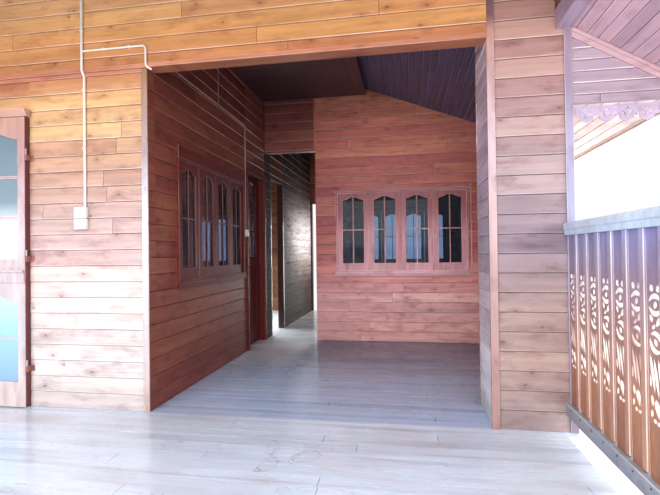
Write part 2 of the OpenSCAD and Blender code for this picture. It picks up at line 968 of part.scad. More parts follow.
module front_door_frame() {
    foot = double_h + door_gap;
    color("indianred") {
        difference() {
            block([x_double_l, y_front, 0], [x_double_r, y_front + wall_t, double_h]);
            block([x_double_l + jamb_w, y_front - 1, -1],
                  [x_double_r - jamb_w, y_front + wall_t + 1, double_h - jamb_w]);
        }
        along_x([[y_front, foot], [y_front - double_t, foot],
                 [y_front - double_t - waist_step, double_h + cornice_h / 2],
                 [y_front - double_t - 2 * waist_step, double_h + cornice_h],
                 [y_front, double_h + cornice_h]],
                x_double_l - waist_step, x_double_r + waist_step);
        double_hinges_fixed();
        mirror_double()
            double_hinges_fixed();
    }
}

module front_door_right() {
    color("rosybrown")
        double_leaf();
}

module front_door_left() {
    color("rosybrown")
        mirror_double()
            double_leaf();
}

module front_glass_right() {
    color("lightblue")
        double_glass();
}

module front_glass_left() {
    color("lightblue")
        mirror_double()
            double_glass();
}

side_leaf_w = side_door_w - 2 * jamb_w - door_gap - hinge_gap;
side_leaf_h = side_door_h - jamb_w - door_gap - leaf_lift;
side_leaf_y = y_side_door + jamb_w + door_gap;
side_face = x_side - wall_t - frame_proud;
side_pane_h = side_leaf_h - side_pane_z - side_stile * 0.6;

// Outline in the plane of the side door: width along Y, height along Z, thickness along X
module side_plate(x0, t) {
    translate([x0, side_leaf_y, floor_h + leaf_lift])
        rotate([90, 0, 90])
            linear_extrude(t)
                children();
}

module side_hinge_place() {
    for (z = hinge_heights)
        translate([side_face - knuckle_off, side_leaf_y + side_leaf_w + hinge_gap / 2, floor_h + z])
            children();
}

module side_door_frame() {
    stop_x = side_face + side_door_t + 5;
    color("indianred") {
        difference() {
            block([side_face, y_side_door, 0], [x_side + frame_proud, y_side_door + side_door_w, side_door_h]);
            block([side_face - 1, y_side_door + jamb_w, -1],
                  [x_side + frame_proud + 1, y_side_door + side_door_w - jamb_w, side_door_h - jamb_w]);
        }
        difference() {
            block([stop_x, y_side_door + jamb_w, 0],
                  [x_side, y_side_door + side_door_w - jamb_w, side_door_h - jamb_w]);
            block([stop_x - 1, y_side_door + jamb_w + stop_w, -1],
                  [x_side + 1, y_side_door + side_door_w - jamb_w - stop_w,
                   side_door_h - jamb_w - stop_w]);
        }
        side_hinge_place() {
            knuckle(false);
            pin();
            translate([knuckle_off - hinge_t, hinge_gap, 0])
                cube([hinge_t, jamb_w * 0.8, knuckle_h]);
            cube([knuckle_off, knuckle_r - 1, knuckle_h]);
        }
    }
}

module side_door() {
    panel_w = (side_leaf_w - 3 * side_stile * 0.75) / 2;
    color("rosybrown") {
        difference() {
            side_plate(side_face, side_door_t)
                difference() {
                    square([side_leaf_w, side_leaf_h]);
                    translate([side_stile, side_pane_z])
                        polygon(pane_outline(side_leaf_w - 2 * side_stile, side_pane_h, 0));
                }
            for (x = [side_face - 1, side_face + side_door_t - panel_sink], i = [0, 1])
                side_plate(x, panel_sink + 1)
                    translate([side_stile * 0.75 + i * (panel_w + side_stile * 0.75), side_stile * 1.8])
                        square([panel_w, side_pane_z - side_stile * 2.8]);
        }
        side_hinge_place()
            translate([0, 0, knuckle_h + hinge_play]) {
                knuckle(true);
                translate([knuckle_off - hinge_t, -hinge_gap / 2 - jamb_w, 0])
                    cube([hinge_t, jamb_w, knuckle_h]);
                difference() {
                    translate([0, -knuckle_r + 1, 0])
                        cube([knuckle_off, knuckle_r - 1, knuckle_h]);
                    translate([0, 0, -1])
                        cylinder(r = knuckle_r - 1, h = knuckle_h + 2, $fn = 32);
                }
            }
    }
}

module side_door_glass() {
    color("darkslategray")
        side_plate(side_face + (side_door_t - glass_t) / 2, glass_t)
            translate([side_stile, side_pane_z])
                polygon(pane_outline(side_leaf_w - 2 * side_stile, side_pane_h, pane_seat));
}

module lining_y(x0, y0, h) {
    difference() {
        block([x0, y0, 0], [x0 + wall_t, y0 + doorway_w, h]);
        block([x0 - 1, y0 + doorway_lining, -1],
              [x0 + wall_t + 1, y0 + doorway_w - doorway_lining, h - doorway_lining]);
    }
}

module doorway_linings() {
    color("sienna") {
        lining_y(x_side - wall_t, y_doorway, doorway_h);
        lining_y(x_pass, y_doorway, doorway_h);
        difference() {
            block([x_side, y_rear - wall_t, 0], [x_pass, y_rear, rear_head]);
            block([x_side + doorway_lining, y_rear - wall_t - 1, -1],
                  [x_pass - doorway_lining, y_rear + 1, rear_head - doorway_lining]);
        }
    }
}

// The pierced scroll of one board, its middle at the origin
module scroll() {
    w = baluster_w;
    h = scroll_h;
    for (s = [-1, 1]) {
        translate([0, s * h * 0.33]) {
            polygon(crescent(w * 0.34, w * 0.13, 20, 170));
            polygon(crescent(w * 0.34, w * 0.13, 200, 350));
            rotate(s * 30)
                polygon(leaf(w * 0.3, w * 0.14));
        }
        translate([s * w * 0.16, s * h * 0.14])
            rotate(-24)
                polygon(leaf(h * 0.2, w * 0.17));
        translate([-s * w * 0.14, s * h * 0.09])
            rotate(-24)
                polygon(leaf(h * 0.24, w * 0.13));
        translate([s * w * 0.1, s * h * 0.46])
            rotate(-s * 60)
                polygon(leaf(w * 0.5, w * 0.17));
    }
}

// One bay of balustrade along X from the origin, its rails centred on Y
module bay(len) {
    n = floor(len / baluster_pitch);
    pitch = len / n;
    board_h = hand_top - rail_d - foot_top;
    seat = 10;
    translate([0, -rail_w / 2, hand_top - rail_d])
        cube([len, rail_w, rail_d]);
    translate([0, -rail_w / 2, foot_top - rail_d])
        cube([len, rail_w, rail_d]);
    for (i = [0:n - 1])
        translate([(i + 0.5) * pitch, -baluster_t / 2, foot_top - seat])
            upright(baluster_t)
                difference() {
                    translate([-baluster_w / 2, 0])
                        square([baluster_w, board_h + 2 * seat]);
                    translate([0, board_h / 2 + seat])
                        scroll();
                }
}

module side_bays() {
    x = x_out - rail_inset - rail_w / 2;
    translate([x, y_mid_post + post_s / 2, floor_h])
        rotate([0, 0, 90])
            bay(y_front - y_mid_post - post_s / 2 - corner_t);
    translate([x, y_deck + post_s, floor_h])
        rotate([0, 0, 90])
            bay(y_mid_post - y_deck - post_s * 1.5);
}

module balustrade_right() {
    color("peru")
        side_bays();
}

module balustrade_left() {
    color("peru")
        mirror([1, 0, 0])
            side_bays();
}

module balustrade_front() {
    y = y_deck + rail_inset + rail_w / 2;
    color("peru") {
        translate([post_x + post_s / 2, y, floor_h])
            bay(x_out - post_x - post_s * 1.5);
        translate([-post_x + post_s / 2, y, floor_h])
            bay(2 * post_x - post_s);
    }
}

// Electric conduit and boxes on the walls
module pipe(a, b) {
    d = b - a;
    translate([a[0], a[1], floor_h + a[2]])
        rotate([0, 0, d[0] == 0 && d[1] == 0 ? 0 : atan2(d[1], d[0])])
            rotate([0, d[2] == 0 ? 90 : (d[2] > 0 ? 0 : 180), 0])
                cylinder(r = conduit_r, h = norm(d), $fn = 16);
}

module elbow(p) {
    translate([p[0], p[1], floor_h + p[2]])
        sphere(r = conduit_r, $fn = 16);
}

module run(points) {
    for (i = [0:len(points) - 2])
        pipe(points[i], points[i + 1]);
    for (i = [1:len(points) - 2])
        elbow(points[i]);
}

switch_y = y_side_door - switch_in;

module wall_conduit() {
    x = x_side - conduit_in;
    y_wall = y_front - conduit_r;
    y_band = y_front - band_proud - conduit_r;
    branch = band_z + branch_rise;
    color("white") {
        run([[x, y_wall, socket_z + 2 * socket_h], [x, y_wall, band_z - conduit_r],
             [x, y_band, band_z - conduit_r], [x, y_band, band_z + conduit_rise]]);
        run([[x, y_band, branch], [x_side - corner_w / 2, y_band, branch],
             [x_side - corner_w / 2, y_band, band_z]]);
        run([[x_side + conduit_r, y_front + wall_t, branch - 20],
             [x_side + conduit_r, switch_y, branch - 20],
             [x_side + conduit_r, switch_y, socket_z + socket_h]]);
    }
}

module socket_boxes() {
    x = x_side - conduit_in - socket_s / 2;
    color("whitesmoke") {
        block([x, y_front - socket_d, socket_z], [x + socket_s, y_front, socket_z + 2 * socket_h]);
        block([x_side, switch_y - socket_h / 3, socket_z],
              [x_side + socket_d, switch_y + socket_h / 3, socket_z + socket_h]);
    }
}

footings();
stilts();
floor_bearers();
floor_joists();
deck_floor();
house_floor();
front_wall();
front_gable();
corner_pier();
porch_side_wall();
porch_side_wall_rear();
porch_back_wall();
passage_wall();
walls_over_doors();
left_wall();
right_wall();
rear_wall();
rear_gable();
deck_gable();
corner_boards();
deck_posts();
wall_plates();
tie_beams();
rafters();
purlins();
roof_left();
roof_right();
ridge_cap();
eave_soffits();
eave_fascias();
barge_boards();
wing_panels();
wing_fretwork();
ceiling_flat();
ceiling_slope();
ceiling_beam();
porch_window_frames();
porch_casements();
porch_window_glass();
outer_window_frames();
outer_casements();
outer_window_glass();
front_door_frame();
front_door_right();
front_door_left();
front_glass_right();
front_glass_left();
side_door_frame();
side_door();
side_door_glass();
doorway_linings();
balustrade_right();
balustrade_left();
balustrade_front();
wall_conduit();
socket_boxes();
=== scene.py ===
"""Stilt house: boarding, joinery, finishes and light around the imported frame. Metres, Z up."""
import json
import math

import bmesh
import bpy
from mathutils import Matrix, Vector

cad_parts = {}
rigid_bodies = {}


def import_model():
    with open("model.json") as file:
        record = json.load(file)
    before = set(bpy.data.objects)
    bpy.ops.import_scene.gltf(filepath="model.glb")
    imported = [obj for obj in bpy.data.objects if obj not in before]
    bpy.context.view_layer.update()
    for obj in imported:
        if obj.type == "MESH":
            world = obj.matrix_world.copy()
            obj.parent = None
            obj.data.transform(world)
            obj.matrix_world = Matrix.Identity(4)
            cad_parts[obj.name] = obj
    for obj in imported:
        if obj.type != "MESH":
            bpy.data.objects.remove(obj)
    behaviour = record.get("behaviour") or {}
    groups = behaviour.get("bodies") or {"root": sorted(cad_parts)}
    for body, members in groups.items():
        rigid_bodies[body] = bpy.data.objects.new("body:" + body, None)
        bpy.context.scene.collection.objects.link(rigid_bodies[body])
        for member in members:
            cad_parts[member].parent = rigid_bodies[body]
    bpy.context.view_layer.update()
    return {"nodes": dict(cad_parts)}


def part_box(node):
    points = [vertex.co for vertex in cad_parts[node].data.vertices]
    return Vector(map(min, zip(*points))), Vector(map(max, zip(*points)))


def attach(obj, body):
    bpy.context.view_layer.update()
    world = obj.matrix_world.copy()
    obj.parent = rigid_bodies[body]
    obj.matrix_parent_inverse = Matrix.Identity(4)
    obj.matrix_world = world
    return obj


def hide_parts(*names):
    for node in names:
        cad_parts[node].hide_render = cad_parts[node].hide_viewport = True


for leftover in list(bpy.data.objects):
    bpy.data.objects.remove(leftover)
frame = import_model()

X = Vector((1, 0, 0))
Y = Vector((0, 1, 0))
Z = Vector((0, 0, 1))

# Heights and lines that the frame gives
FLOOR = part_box("deck_floor")[1][2]
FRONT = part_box("front_wall")[0][1]
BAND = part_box("front_wall")[1][2]
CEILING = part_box("ceiling_flat")[0][2]
SIDE_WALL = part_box("porch_side_wall")[1][0]
PIER_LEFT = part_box("corner_pier")[0][0]
PIER_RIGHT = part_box("corner_pier")[1][0]

# Board sizes, as a carpenter would order them
WALL_ROW = 0.12
FRONT_ROW = 0.114
NARROW_ROW = 0.07
FLOOR_ROW = 0.1
BOARD_GAP = 0.003
FLOOR_GAP = 0.0012
WALL_BOARD = 0.016
LINING_BOARD = 0.01
FLOOR_BOARD = 0.012
WALL_LEAN = 0.004
NARROW_LEAN = 0.0015
CORE_SETBACK = 0.0005


# Camera, where the photo was taken from on the deck
EYE = (2.0, -3.9, 3.3)
LENS = 24.77
YAW = 0.1667
PITCH = 0.0106
ROLL = -0.0129


def aim_camera():
    """The photo's own camera: its place, its turns and its lens."""
    forward = Vector((-math.sin(YAW) * math.cos(PITCH), math.cos(YAW) * math.cos(PITCH), math.sin(PITCH)))
    level = Vector((math.cos(YAW), math.sin(YAW), 0))
    upward = level.cross(forward)
    right = level * math.cos(ROLL) + upward * math.sin(ROLL)
    up = upward * math.cos(ROLL) - level * math.sin(ROLL)
    camera = bpy.data.objects.new("camera", bpy.data.cameras.new("camera"))
    camera.data.lens = LENS
    camera.data.clip_end = 200
    turn = Matrix((right, up, -forward)).transposed().to_4x4()
    camera.matrix_world = Matrix.Translation(EYE) @ turn
    bpy.context.scene.collection.objects.link(camera)
    bpy.context.scene.camera = camera


aim_camera()


# Colour and node helpers
def linear(value):
    """A screen value, 0 to 255, as linear light."""
    value /= 255
    return value / 12.92 if value <= 0.04045 else ((value + 0.055) / 1.055) ** 2.4


def colour(red, green, blue):
    """A colour written as it shows on screen, 0 to 255, as linear RGBA."""
    return (linear(red), linear(green), linear(blue), 1)


def add(tree, kind, inputs=None, **settings):
    """A new node: settings are its properties, inputs are values or other nodes' outputs."""
    node = tree.nodes.new(kind)
    for name, value in settings.items():
        setattr(node, name, value)
    for key, value in (inputs or {}).items():
        if isinstance(value, bpy.types.NodeSocket):
            tree.links.new(value, node.inputs[key])
        else:
            node.inputs[key].default_value = value
    return node


def calc(tree, operation, *values):
    """The result of one Math node."""
    return add(tree, "ShaderNodeMath", dict(enumerate(values)), operation=operation).outputs[0]


def mixed(tree, share, under, over, blend="MIX"):
    """One colour over another by share. A Mix node's colours are its sockets 6 and 7, and output 2."""
    node = add(tree, "ShaderNodeMix", {0: share, 6: under, 7: over}, data_type="RGBA", blend_type=blend)
    return node.outputs[2]


def darkened(tree, base, by):
    return mixed(tree, 1.0, base, by, "MULTIPLY")


def toned(tree, base, value, hue=0.5):
    return add(tree, "ShaderNodeHueSaturation", {"Hue": hue, "Value": value, "Color": base}).outputs[0]


def ranged(tree, value, low, high, to_low=0.0, to_high=1.0):
    node = add(tree, "ShaderNodeMapRange",
               {"Value": value, "From Min": low, "From Max": high, "To Min": to_low, "To Max": to_high})
    return node.outputs[0]


def apart(tree, value, centre):
    """How far a value is from a centre, either way."""
    return calc(tree, "ABSOLUTE", calc(tree, "SUBTRACT", value, centre))


def noise(tree, vector, scale=1.0, detail=3.0, rough=0.5, distortion=0.0):
    node = add(tree, "ShaderNodeTexNoise", {
        "Vector": vector, "Scale": scale, "Detail": detail, "Roughness": rough, "Distortion": distortion})
    return node.outputs["Fac"]


def combined(tree, x, y, z=0.0):
    return add(tree, "ShaderNodeCombineXYZ", {0: x, 1: y, 2: z}).outputs[0]


def split(tree, vector):
    return add(tree, "ShaderNodeSeparateXYZ", {0: vector}).outputs


def stretch(tree, place, scale):
    return add(tree, "ShaderNodeMapping", {"Vector": place, "Scale": scale}).outputs[0]


def place_on(tree):
    return add(tree, "ShaderNodeTexCoord").outputs["Object"]


def mark(tree, name):
    """A number that the mesh carries, such as its boards' tone or their eased edges."""
    return add(tree, "ShaderNodeAttribute", attribute_name=name).outputs["Fac"]


def new_material(name):
    material = bpy.data.materials.new(name)
    material.use_nodes = True
    tree = material.node_tree
    surface = tree.nodes["Principled BSDF"]
    return material, tree, surface


def finish_surface(tree, surface, base, roughness=None, height=None, strength=0.3, depth=0.001, **values):
    """Links the varying channels and sets the constant ones on the surface's own sockets."""
    tree.links.new(base, surface.inputs["Base Color"])
    if roughness is not None:
        tree.links.new(roughness, surface.inputs["Roughness"])
    if height is not None:
        bump = add(tree, "ShaderNodeBump", {"Strength": strength, "Distance": depth, "Height": height})
        tree.links.new(bump.outputs[0], surface.inputs["Normal"])
    for name, value in values.items():
        surface.inputs[name.replace("_", " ")].default_value = value


# Wood
def height_ramp(tree, height, stops):
    """A colour that changes with height: stops are (metres above the floor, colour) from low to high."""
    low = FLOOR + stops[0][0]
    span = stops[-1][0] - stops[0][0]
    node = add(tree, "ShaderNodeValToRGB", {"Fac": ranged(tree, height, low, low + span)})
    points = node.color_ramp.elements
    while len(points) < len(stops):
        points.new(0.5)
    for point, (place, tint) in zip(points, stops):
        point.position = (place - stops[0][0]) / span
        point.color = colour(*tint)
    return node.outputs["Color"]


def tinted(tree, height, tint):
    """One colour, or a colour that changes with height where tint is a list of stops."""
    return height_ramp(tree, height, tint) if isinstance(tint[0], tuple) else colour(*tint)


# The grain: its shift from board to board, its rings to each step of noise, and the share with no knot
BOARD_SHIFT = 91.0
RINGS = 62.0
KNOTLESS = 0.72
SMUDGE = (0.5, 0.34, 0.38, 1)
KNOT = (0.2, 0.09, 0.06, 1)
# EDGE_LIGHT is the painted highlight, with some real wear, on the boards' eased edges
EDGE_LIGHT = (255, 246, 238)


def knots_in(tree, along, across, shift, knots):
    """How dark each knot and the ring round it are, and how far the grain bends about it."""
    flat = combined(tree, calc(tree, "MULTIPLY_ADD", along, 4.5, shift), calc(tree, "MULTIPLY", across, 8.0))
    cells = add(tree, "ShaderNodeTexVoronoi", {"Vector": flat, "Scale": 1.0}, voronoi_dimensions="2D")
    near = cells.outputs["Distance"]
    lot = add(tree, "ShaderNodeSeparateColor", {0: cells.outputs["Color"]}).outputs[0]
    chosen = calc(tree, "GREATER_THAN", lot, KNOTLESS)
    heart = calc(tree, "MULTIPLY", chosen, ranged(tree, near, 0.09, 0.05, 0.0, knots))
    halo = calc(tree, "MULTIPLY", chosen, ranged(tree, near, 0.34, 0.06, 0.0, 0.4 * knots))
    swirl = calc(tree, "MULTIPLY", chosen, ranged(tree, near, 0.45, 0.0, 0.0, 0.14))
    return calc(tree, "MAXIMUM", heart, halo), swirl


def lit_edges(tree, base, parts, wear, edge, rim_tint, glints):
    """The eased edges of boards going to rim_tint: a painted highlight with some real wear in it, stronger
    where the wear noise is high, and only between the glints' distances back and heights if given.
    """
    worn = ranged(tree, wear, 0.35, 0.65, 0.25 * edge, edge)
    if glints:
        worn = calc(tree, "MULTIPLY", worn, ranged(tree, parts[1], glints[0], glints[1], 0.15, 1.0))
        worn = calc(tree, "MULTIPLY", worn, ranged(tree, parts[2], glints[2], glints[3], 0.15, 1.0))
    return mixed(tree, calc(tree, "MULTIPLY", mark(tree, "edge"), worn), base, colour(*rim_tint))


def wood(name, pale, deep=0.78, axes="XZY", edge=None, tone=0.3, knots=0.6, rough=0.42,
         coat=0.3, warm=1.0, smudges=0.5, rim_tint=EDGE_LIGHT, beyond=None, glints=None):
    """Varnished softwood. axes are the grain's direction, the direction across it, and the depth.

    pale is a colour, or stops of height and colour that carry painted light and shade. deep darkens the late
    wood, with more red kept where warm is over 1. edge is how far a board's eased edge goes to rim_tint,
    partly as wear and partly as a painted highlight. beyond is a second colour like pale and the two
    distances back between which it takes over, to paint glare or shade there. glints are the distances back
    and the heights between which the painted edge highlights come in.
    """
    material, tree, surface = new_material(name)
    parts = split(tree, place_on(tree))
    along, across, depth = (parts["XYZ".index(letter)] for letter in axes)
    board = mark(tree, "tone")
    shift = calc(tree, "MULTIPLY", board, BOARD_SHIFT)

    def stretched(long, wide):
        """The place on the piece, drawn out along the grain."""
        x = calc(tree, "MULTIPLY_ADD", along, long, shift)
        return combined(tree, x, calc(tree, "MULTIPLY", across, wide), calc(tree, "MULTIPLY", depth, wide))

    spot, swirl = knots_in(tree, along, across, shift, knots)
    broad = noise(tree, stretched(0.5, 8.0), detail=2.0, distortion=0.2)
    rings = calc(tree, "SINE", calc(tree, "MULTIPLY", calc(tree, "ADD", broad, swirl), RINGS))
    rings = ranged(tree, rings, -1.0, 1.0)
    fibre = noise(tree, stretched(4.0, 150.0), detail=2.0)
    streak = noise(tree, stretched(1.1, 26.0), detail=3.0)
    patch = noise(tree, stretched(1.3, 4.0), detail=3.0, rough=0.6)
    share = calc(tree, "MULTIPLY_ADD", rings, 0.2, calc(tree, "MULTIPLY", fibre, 0.3))
    share = calc(tree, "MULTIPLY_ADD", ranged(tree, streak, 0.3, 0.7), 0.5, share)
    light = tinted(tree, parts[2], pale)
    if beyond:
        tint, starts, ends = beyond
        light = mixed(tree, ranged(tree, parts[1], starts, ends), light, tinted(tree, parts[2], tint))
    shade = [deep ** (2.2 / warm), deep ** 2.2, deep ** 2.2, 1]
    base = mixed(tree, share, light, darkened(tree, light, shade))
    value = calc(tree, "MULTIPLY_ADD", calc(tree, "SUBTRACT", board, 0.5), tone, 1.0)
    value = calc(tree, "MULTIPLY_ADD", calc(tree, "SUBTRACT", patch, 0.5), 0.55, value)
    base = toned(tree, base, value, calc(tree, "MULTIPLY_ADD", board, 0.02, 0.484))
    smudge = noise(tree, stretched(4.5, 12.0), detail=4.0, rough=0.62, distortion=0.3)
    smudge = ranged(tree, smudge, 0.5, 0.72, 0.0, smudges)
    base = mixed(tree, smudge, base, darkened(tree, base, SMUDGE))
    base = mixed(tree, spot, base, darkened(tree, base, KNOT))
    if edge:
        wear = noise(tree, stretched(1.7, 3.0), detail=2.0)
        base = lit_edges(tree, base, parts, wear, edge, rim_tint, glints)
    finish_surface(tree, surface, base, ranged(tree, fibre, 0.2, 0.8, rough - 0.08, rough + 0.1),
                   calc(tree, "MULTIPLY_ADD", rings, 0.3, fibre), 0.3, 0.0006,
                   Coat_Weight=coat, Coat_Roughness=0.28)
    return material


def wood_set(name, **looks):
    """The same wood with its grain along X, Y or Z."""
    return {
        "X": wood(name + "_along_x", axes="XZY", **looks),
        "Y": wood(name + "_along_y", axes="YZX", **looks),
        "Z": wood(name + "_upright", axes="ZXY", **looks)}


# Painted light and shade on the woods, as colours that change with height: metres above the floor and the
# colour there, from low to high
FRONT_LIGHT_AND_SHADE = [
    (0.0, (222, 210, 208)), (0.12, (226, 214, 208)), (0.3, (242, 232, 228)), (0.65, (240, 224, 218)),
    (0.95, (230, 200, 194)), (1.35, (203, 175, 168)), (1.7, (202, 162, 138)), (2.1, (227, 186, 134)),
    (2.32, (218, 162, 112)), (2.42, (206, 140, 90)), (2.5, (208, 146, 92)), (2.65, (232, 170, 104)),
    (2.95, (255, 204, 136))]
PIER_LIGHT_AND_SHADE = [
    (0.0, (174, 152, 148)), (0.35, (180, 152, 144)), (0.75, (174, 148, 142)), (1.15, (152, 132, 142)),
    (1.6, (172, 150, 150)), (2.1, (186, 150, 144)), (2.6, (182, 138, 122)), (2.9, (168, 124, 106))]
SIDE_LIGHT_AND_SHADE = [
    (0.0, (255, 250, 255)), (0.45, (255, 246, 255)), (0.65, (236, 222, 236)), (0.97, (192, 178, 194)),
    (1.35, (198, 178, 192)), (1.7, (208, 190, 214)), (2.3, (230, 200, 208))]
BACK_LIGHT_AND_SHADE = [
    (0.0, (232, 174, 170)), (0.5, (242, 188, 184)), (0.85, (220, 144, 136)), (1.2, (182, 102, 92)),
    (2.0, (176, 104, 92)), (2.6, (222, 144, 120)), (3.2, (238, 162, 128))]
PASSAGE_LIGHT_AND_SHADE = [
    (0.3, (124, 100, 90)), (0.6, (146, 122, 112)), (0.8, (186, 164, 156)), (1.0, (236, 222, 218)),
    (1.35, (255, 250, 250)), (1.7, (250, 240, 238)), (1.9, (196, 174, 168)), (2.25, (140, 112, 106))]
BANK_LIGHT_AND_SHADE = [
    (0.62, (246, 196, 200)), (0.78, (240, 186, 188)), (1.0, (226, 164, 166)), (1.3, (216, 152, 152)),
    (1.5, (192, 124, 120)), (1.64, (172, 106, 102))]
DOOR_LIGHT_AND_SHADE = [
    (0.0, (236, 221, 214)), (0.2, (228, 213, 208)), (0.5, (214, 208, 212)), (1.38, (224, 202, 204)),
    (1.6, (210, 184, 184)), (1.85, (204, 170, 162)), (2.1, (216, 174, 150))]
CORNER_LIGHT_AND_SHADE = [
    (0.0, (232, 210, 190)), (0.4, (236, 222, 220)), (1.4, (226, 222, 238)), (1.9, (196, 172, 168)),
    (2.4, (170, 136, 96))]
PIER_RIGHT_LIGHT_AND_SHADE = [
    (0.0, (150, 134, 150)), (1.0, (160, 148, 176)), (1.3, (168, 162, 192)), (1.8, (182, 172, 198)),
    (2.3, (178, 152, 168))]
PIER_LEFT_LIGHT_AND_SHADE = [
    (0.0, (206, 166, 152)), (1.0, (210, 178, 170)), (1.8, (222, 196, 198)), (2.46, (208, 164, 148)),
    (2.56, (136, 98, 96)), (2.9, (112, 76, 80))]
RAIL_LIGHT_AND_SHADE = [
    (0.1, (150, 152, 168)), (0.18, (176, 180, 196)), (1.15, (212, 226, 252)), (1.26, (222, 234, 255))]
PANEL_LIGHT_AND_SHADE = [
    (0.17, (182, 122, 84)), (0.45, (194, 138, 106)), (0.7, (182, 136, 124)), (0.95, (156, 132, 152)),
    (1.19, (142, 140, 188))]
STRIP_LIGHT_AND_SHADE = [
    (0.17, (206, 152, 118)), (0.6, (204, 156, 134)), (0.95, (174, 148, 158)), (1.19, (164, 162, 202))]
# Painted glare: near white on soffit and fascia back from the front wall's line, where they stand in full
# daylight
PAINTED_GLARE = ((255, 252, 255), FRONT, FRONT + 0.05)
# Heights above the floor between which the painted edge highlights come in
HEAD_GLINTS = (FLOOR + 1.2, FLOOR + 2.0)

# Boards
FRONT_BOARDS = wood_set("front_boards", pale=FRONT_LIGHT_AND_SHADE, deep=0.82, edge=0.5, smudges=0.55)
PIER_BOARDS = wood_set("pier_boards", pale=PIER_LIGHT_AND_SHADE, deep=0.84, edge=0.3, tone=0.4, smudges=0.7)
PIER_SIDE = wood("pier_side_boards", SIDE_LIGHT_AND_SHADE, axes="YZX", deep=0.8, edge=0.6, tone=0.4)
PORCH_BOARDS = wood_set("porch_boards", pale=(154, 88, 66), deep=0.72, edge=0.5, warm=1.2, smudges=0.7,
                        rough=0.6, coat=0.12, glints=(-0.7, 0.9, *HEAD_GLINTS))
OVER_BOARDS = wood_set("boards_over_doorways", pale=(156, 98, 82), deep=0.74, edge=0.3, warm=1.2)
PASSAGE_BOARDS = wood_set("passage_boards", pale=(84, 54, 46), deep=0.6, edge=0.8, rough=0.85, coat=0.0,
                          beyond=(PASSAGE_LIGHT_AND_SHADE, 2.2, 3.6), glints=(1.6, 2.6, *HEAD_GLINTS), smudges=0.9)
BACK_BOARDS = wood_set("back_boards", pale=BACK_LIGHT_AND_SHADE, deep=0.74, edge=0.3, warm=1.2, smudges=0.7)
GABLE_BOARDS = wood_set("deck_gable_boards", pale=(206, 146, 100), deep=0.76, edge=0.3)
OUTER_BOARDS = wood_set("outer_boards", pale=(196, 134, 92), deep=0.76, edge=0.3)
WING_BOARDS = wood_set("wing_boards", pale=(178, 156, 170), deep=0.84, edge=0.8)
SOFFIT_BOARDS = wood_set("soffit_boards", pale=(196, 162, 176), deep=0.86, knots=0.0, edge=0.4,
                         rim_tint=(255, 252, 255), beyond=PAINTED_GLARE)
CEILING_WOOD = wood_set("ceiling_wood", pale=(88, 60, 64), deep=0.6, edge=0.2, knots=0.3)
SLOPE_WOOD = wood_set("slope_wood", pale=(88, 98, 148), deep=0.5, edge=0.9, knots=0.3,
                      rim_tint=(196, 188, 226))
# Painted shadow: the dark core that shows in the gaps between boards; the soffit's turns to painted glare,
# white, back from the front wall's line
GROOVE_SHADE = wood("groove_shadow", (70, 42, 36), rough=0.8, coat=0.0)
SOFFIT_GROOVE_SHADE = wood("soffit_groove", (92, 66, 84), rough=0.8, coat=0.0,
                     beyond=((255, 255, 255), FRONT, FRONT + 0.05))

# Frame and trim
FRAME_TIMBER = wood_set("frame_timber", pale=(146, 102, 76), deep=0.72, coat=0.05, rough=0.6)
COVER_WOOD = wood_set("cover_strip_wood", pale=(216, 154, 112), deep=0.84, knots=0.2, edge=0.4)
TRIM_WOOD = wood_set("trim_wood", pale=(190, 130, 110), deep=0.78)
FASCIA_WOOD = wood_set("fascia_wood", pale=(190, 130, 110), deep=0.78, beyond=PAINTED_GLARE)
FRET_WOOD = wood_set("fretwork_wood", pale=(182, 164, 188), deep=0.88, knots=0.0, edge=0.5)
PLATE_WOOD = wood_set("plate_wood", pale=(184, 158, 184), deep=0.84)
RAKE_WOOD = wood_set("rake_wood", pale=(220, 182, 184), deep=0.9, knots=0.2, edge=0.5)
CORNER_WOOD = wood_set("corner_wood", pale=CORNER_LIGHT_AND_SHADE, deep=0.88, knots=0.3)
PIER_LILAC = wood_set("pier_lilac_wood", pale=PIER_RIGHT_LIGHT_AND_SHADE, deep=0.88, knots=0.1, edge=0.5)
PIER_CORNER = wood_set("pier_corner_wood", pale=PIER_LEFT_LIGHT_AND_SHADE, deep=0.88, knots=0.3, edge=0.3)

# Windows and doors
WINDOW_WOOD = wood_set("window_wood", pale=(206, 142, 134), deep=0.82, coat=0.3, knots=0.2, edge=0.5)
BANK_WOOD = wood_set("back_window_wood", pale=BANK_LIGHT_AND_SHADE, deep=0.8, coat=0.15, rough=0.55, knots=0.2,
                     edge=0.5)
SIDE_FRAMES = wood_set("side_window_wood", pale=(132, 66, 48), deep=0.7, coat=0.06, rough=0.62, knots=0.3,
                       edge=0.25)
DOOR_WOOD = wood_set("double_door_wood", pale=DOOR_LIGHT_AND_SHADE, deep=0.88, coat=0.4, knots=0.2, edge=0.5)
# Painted shadow on the door leaves' edge faces, dark on the part next to the wall
LEAF_SIDE_SHADED = wood("leaf_side_wood", (222, 184, 184), axes="ZXY", deep=0.86, knots=0.0,
                 beyond=((112, 50, 44), FRONT - 0.046, FRONT - 0.042))
# The double door's frame darkened as a painted shade, for the shade on its side face
SHADED_DOOR_FRAME = wood_set("dark_door_frame", pale=(128, 62, 54), deep=0.76, coat=0.4, knots=0.2, edge=0.2)
DARK_LINING = wood_set("doorway_lining_wood", pale=(84, 50, 44), deep=0.7, coat=0.3, knots=0.2, edge=0.2)

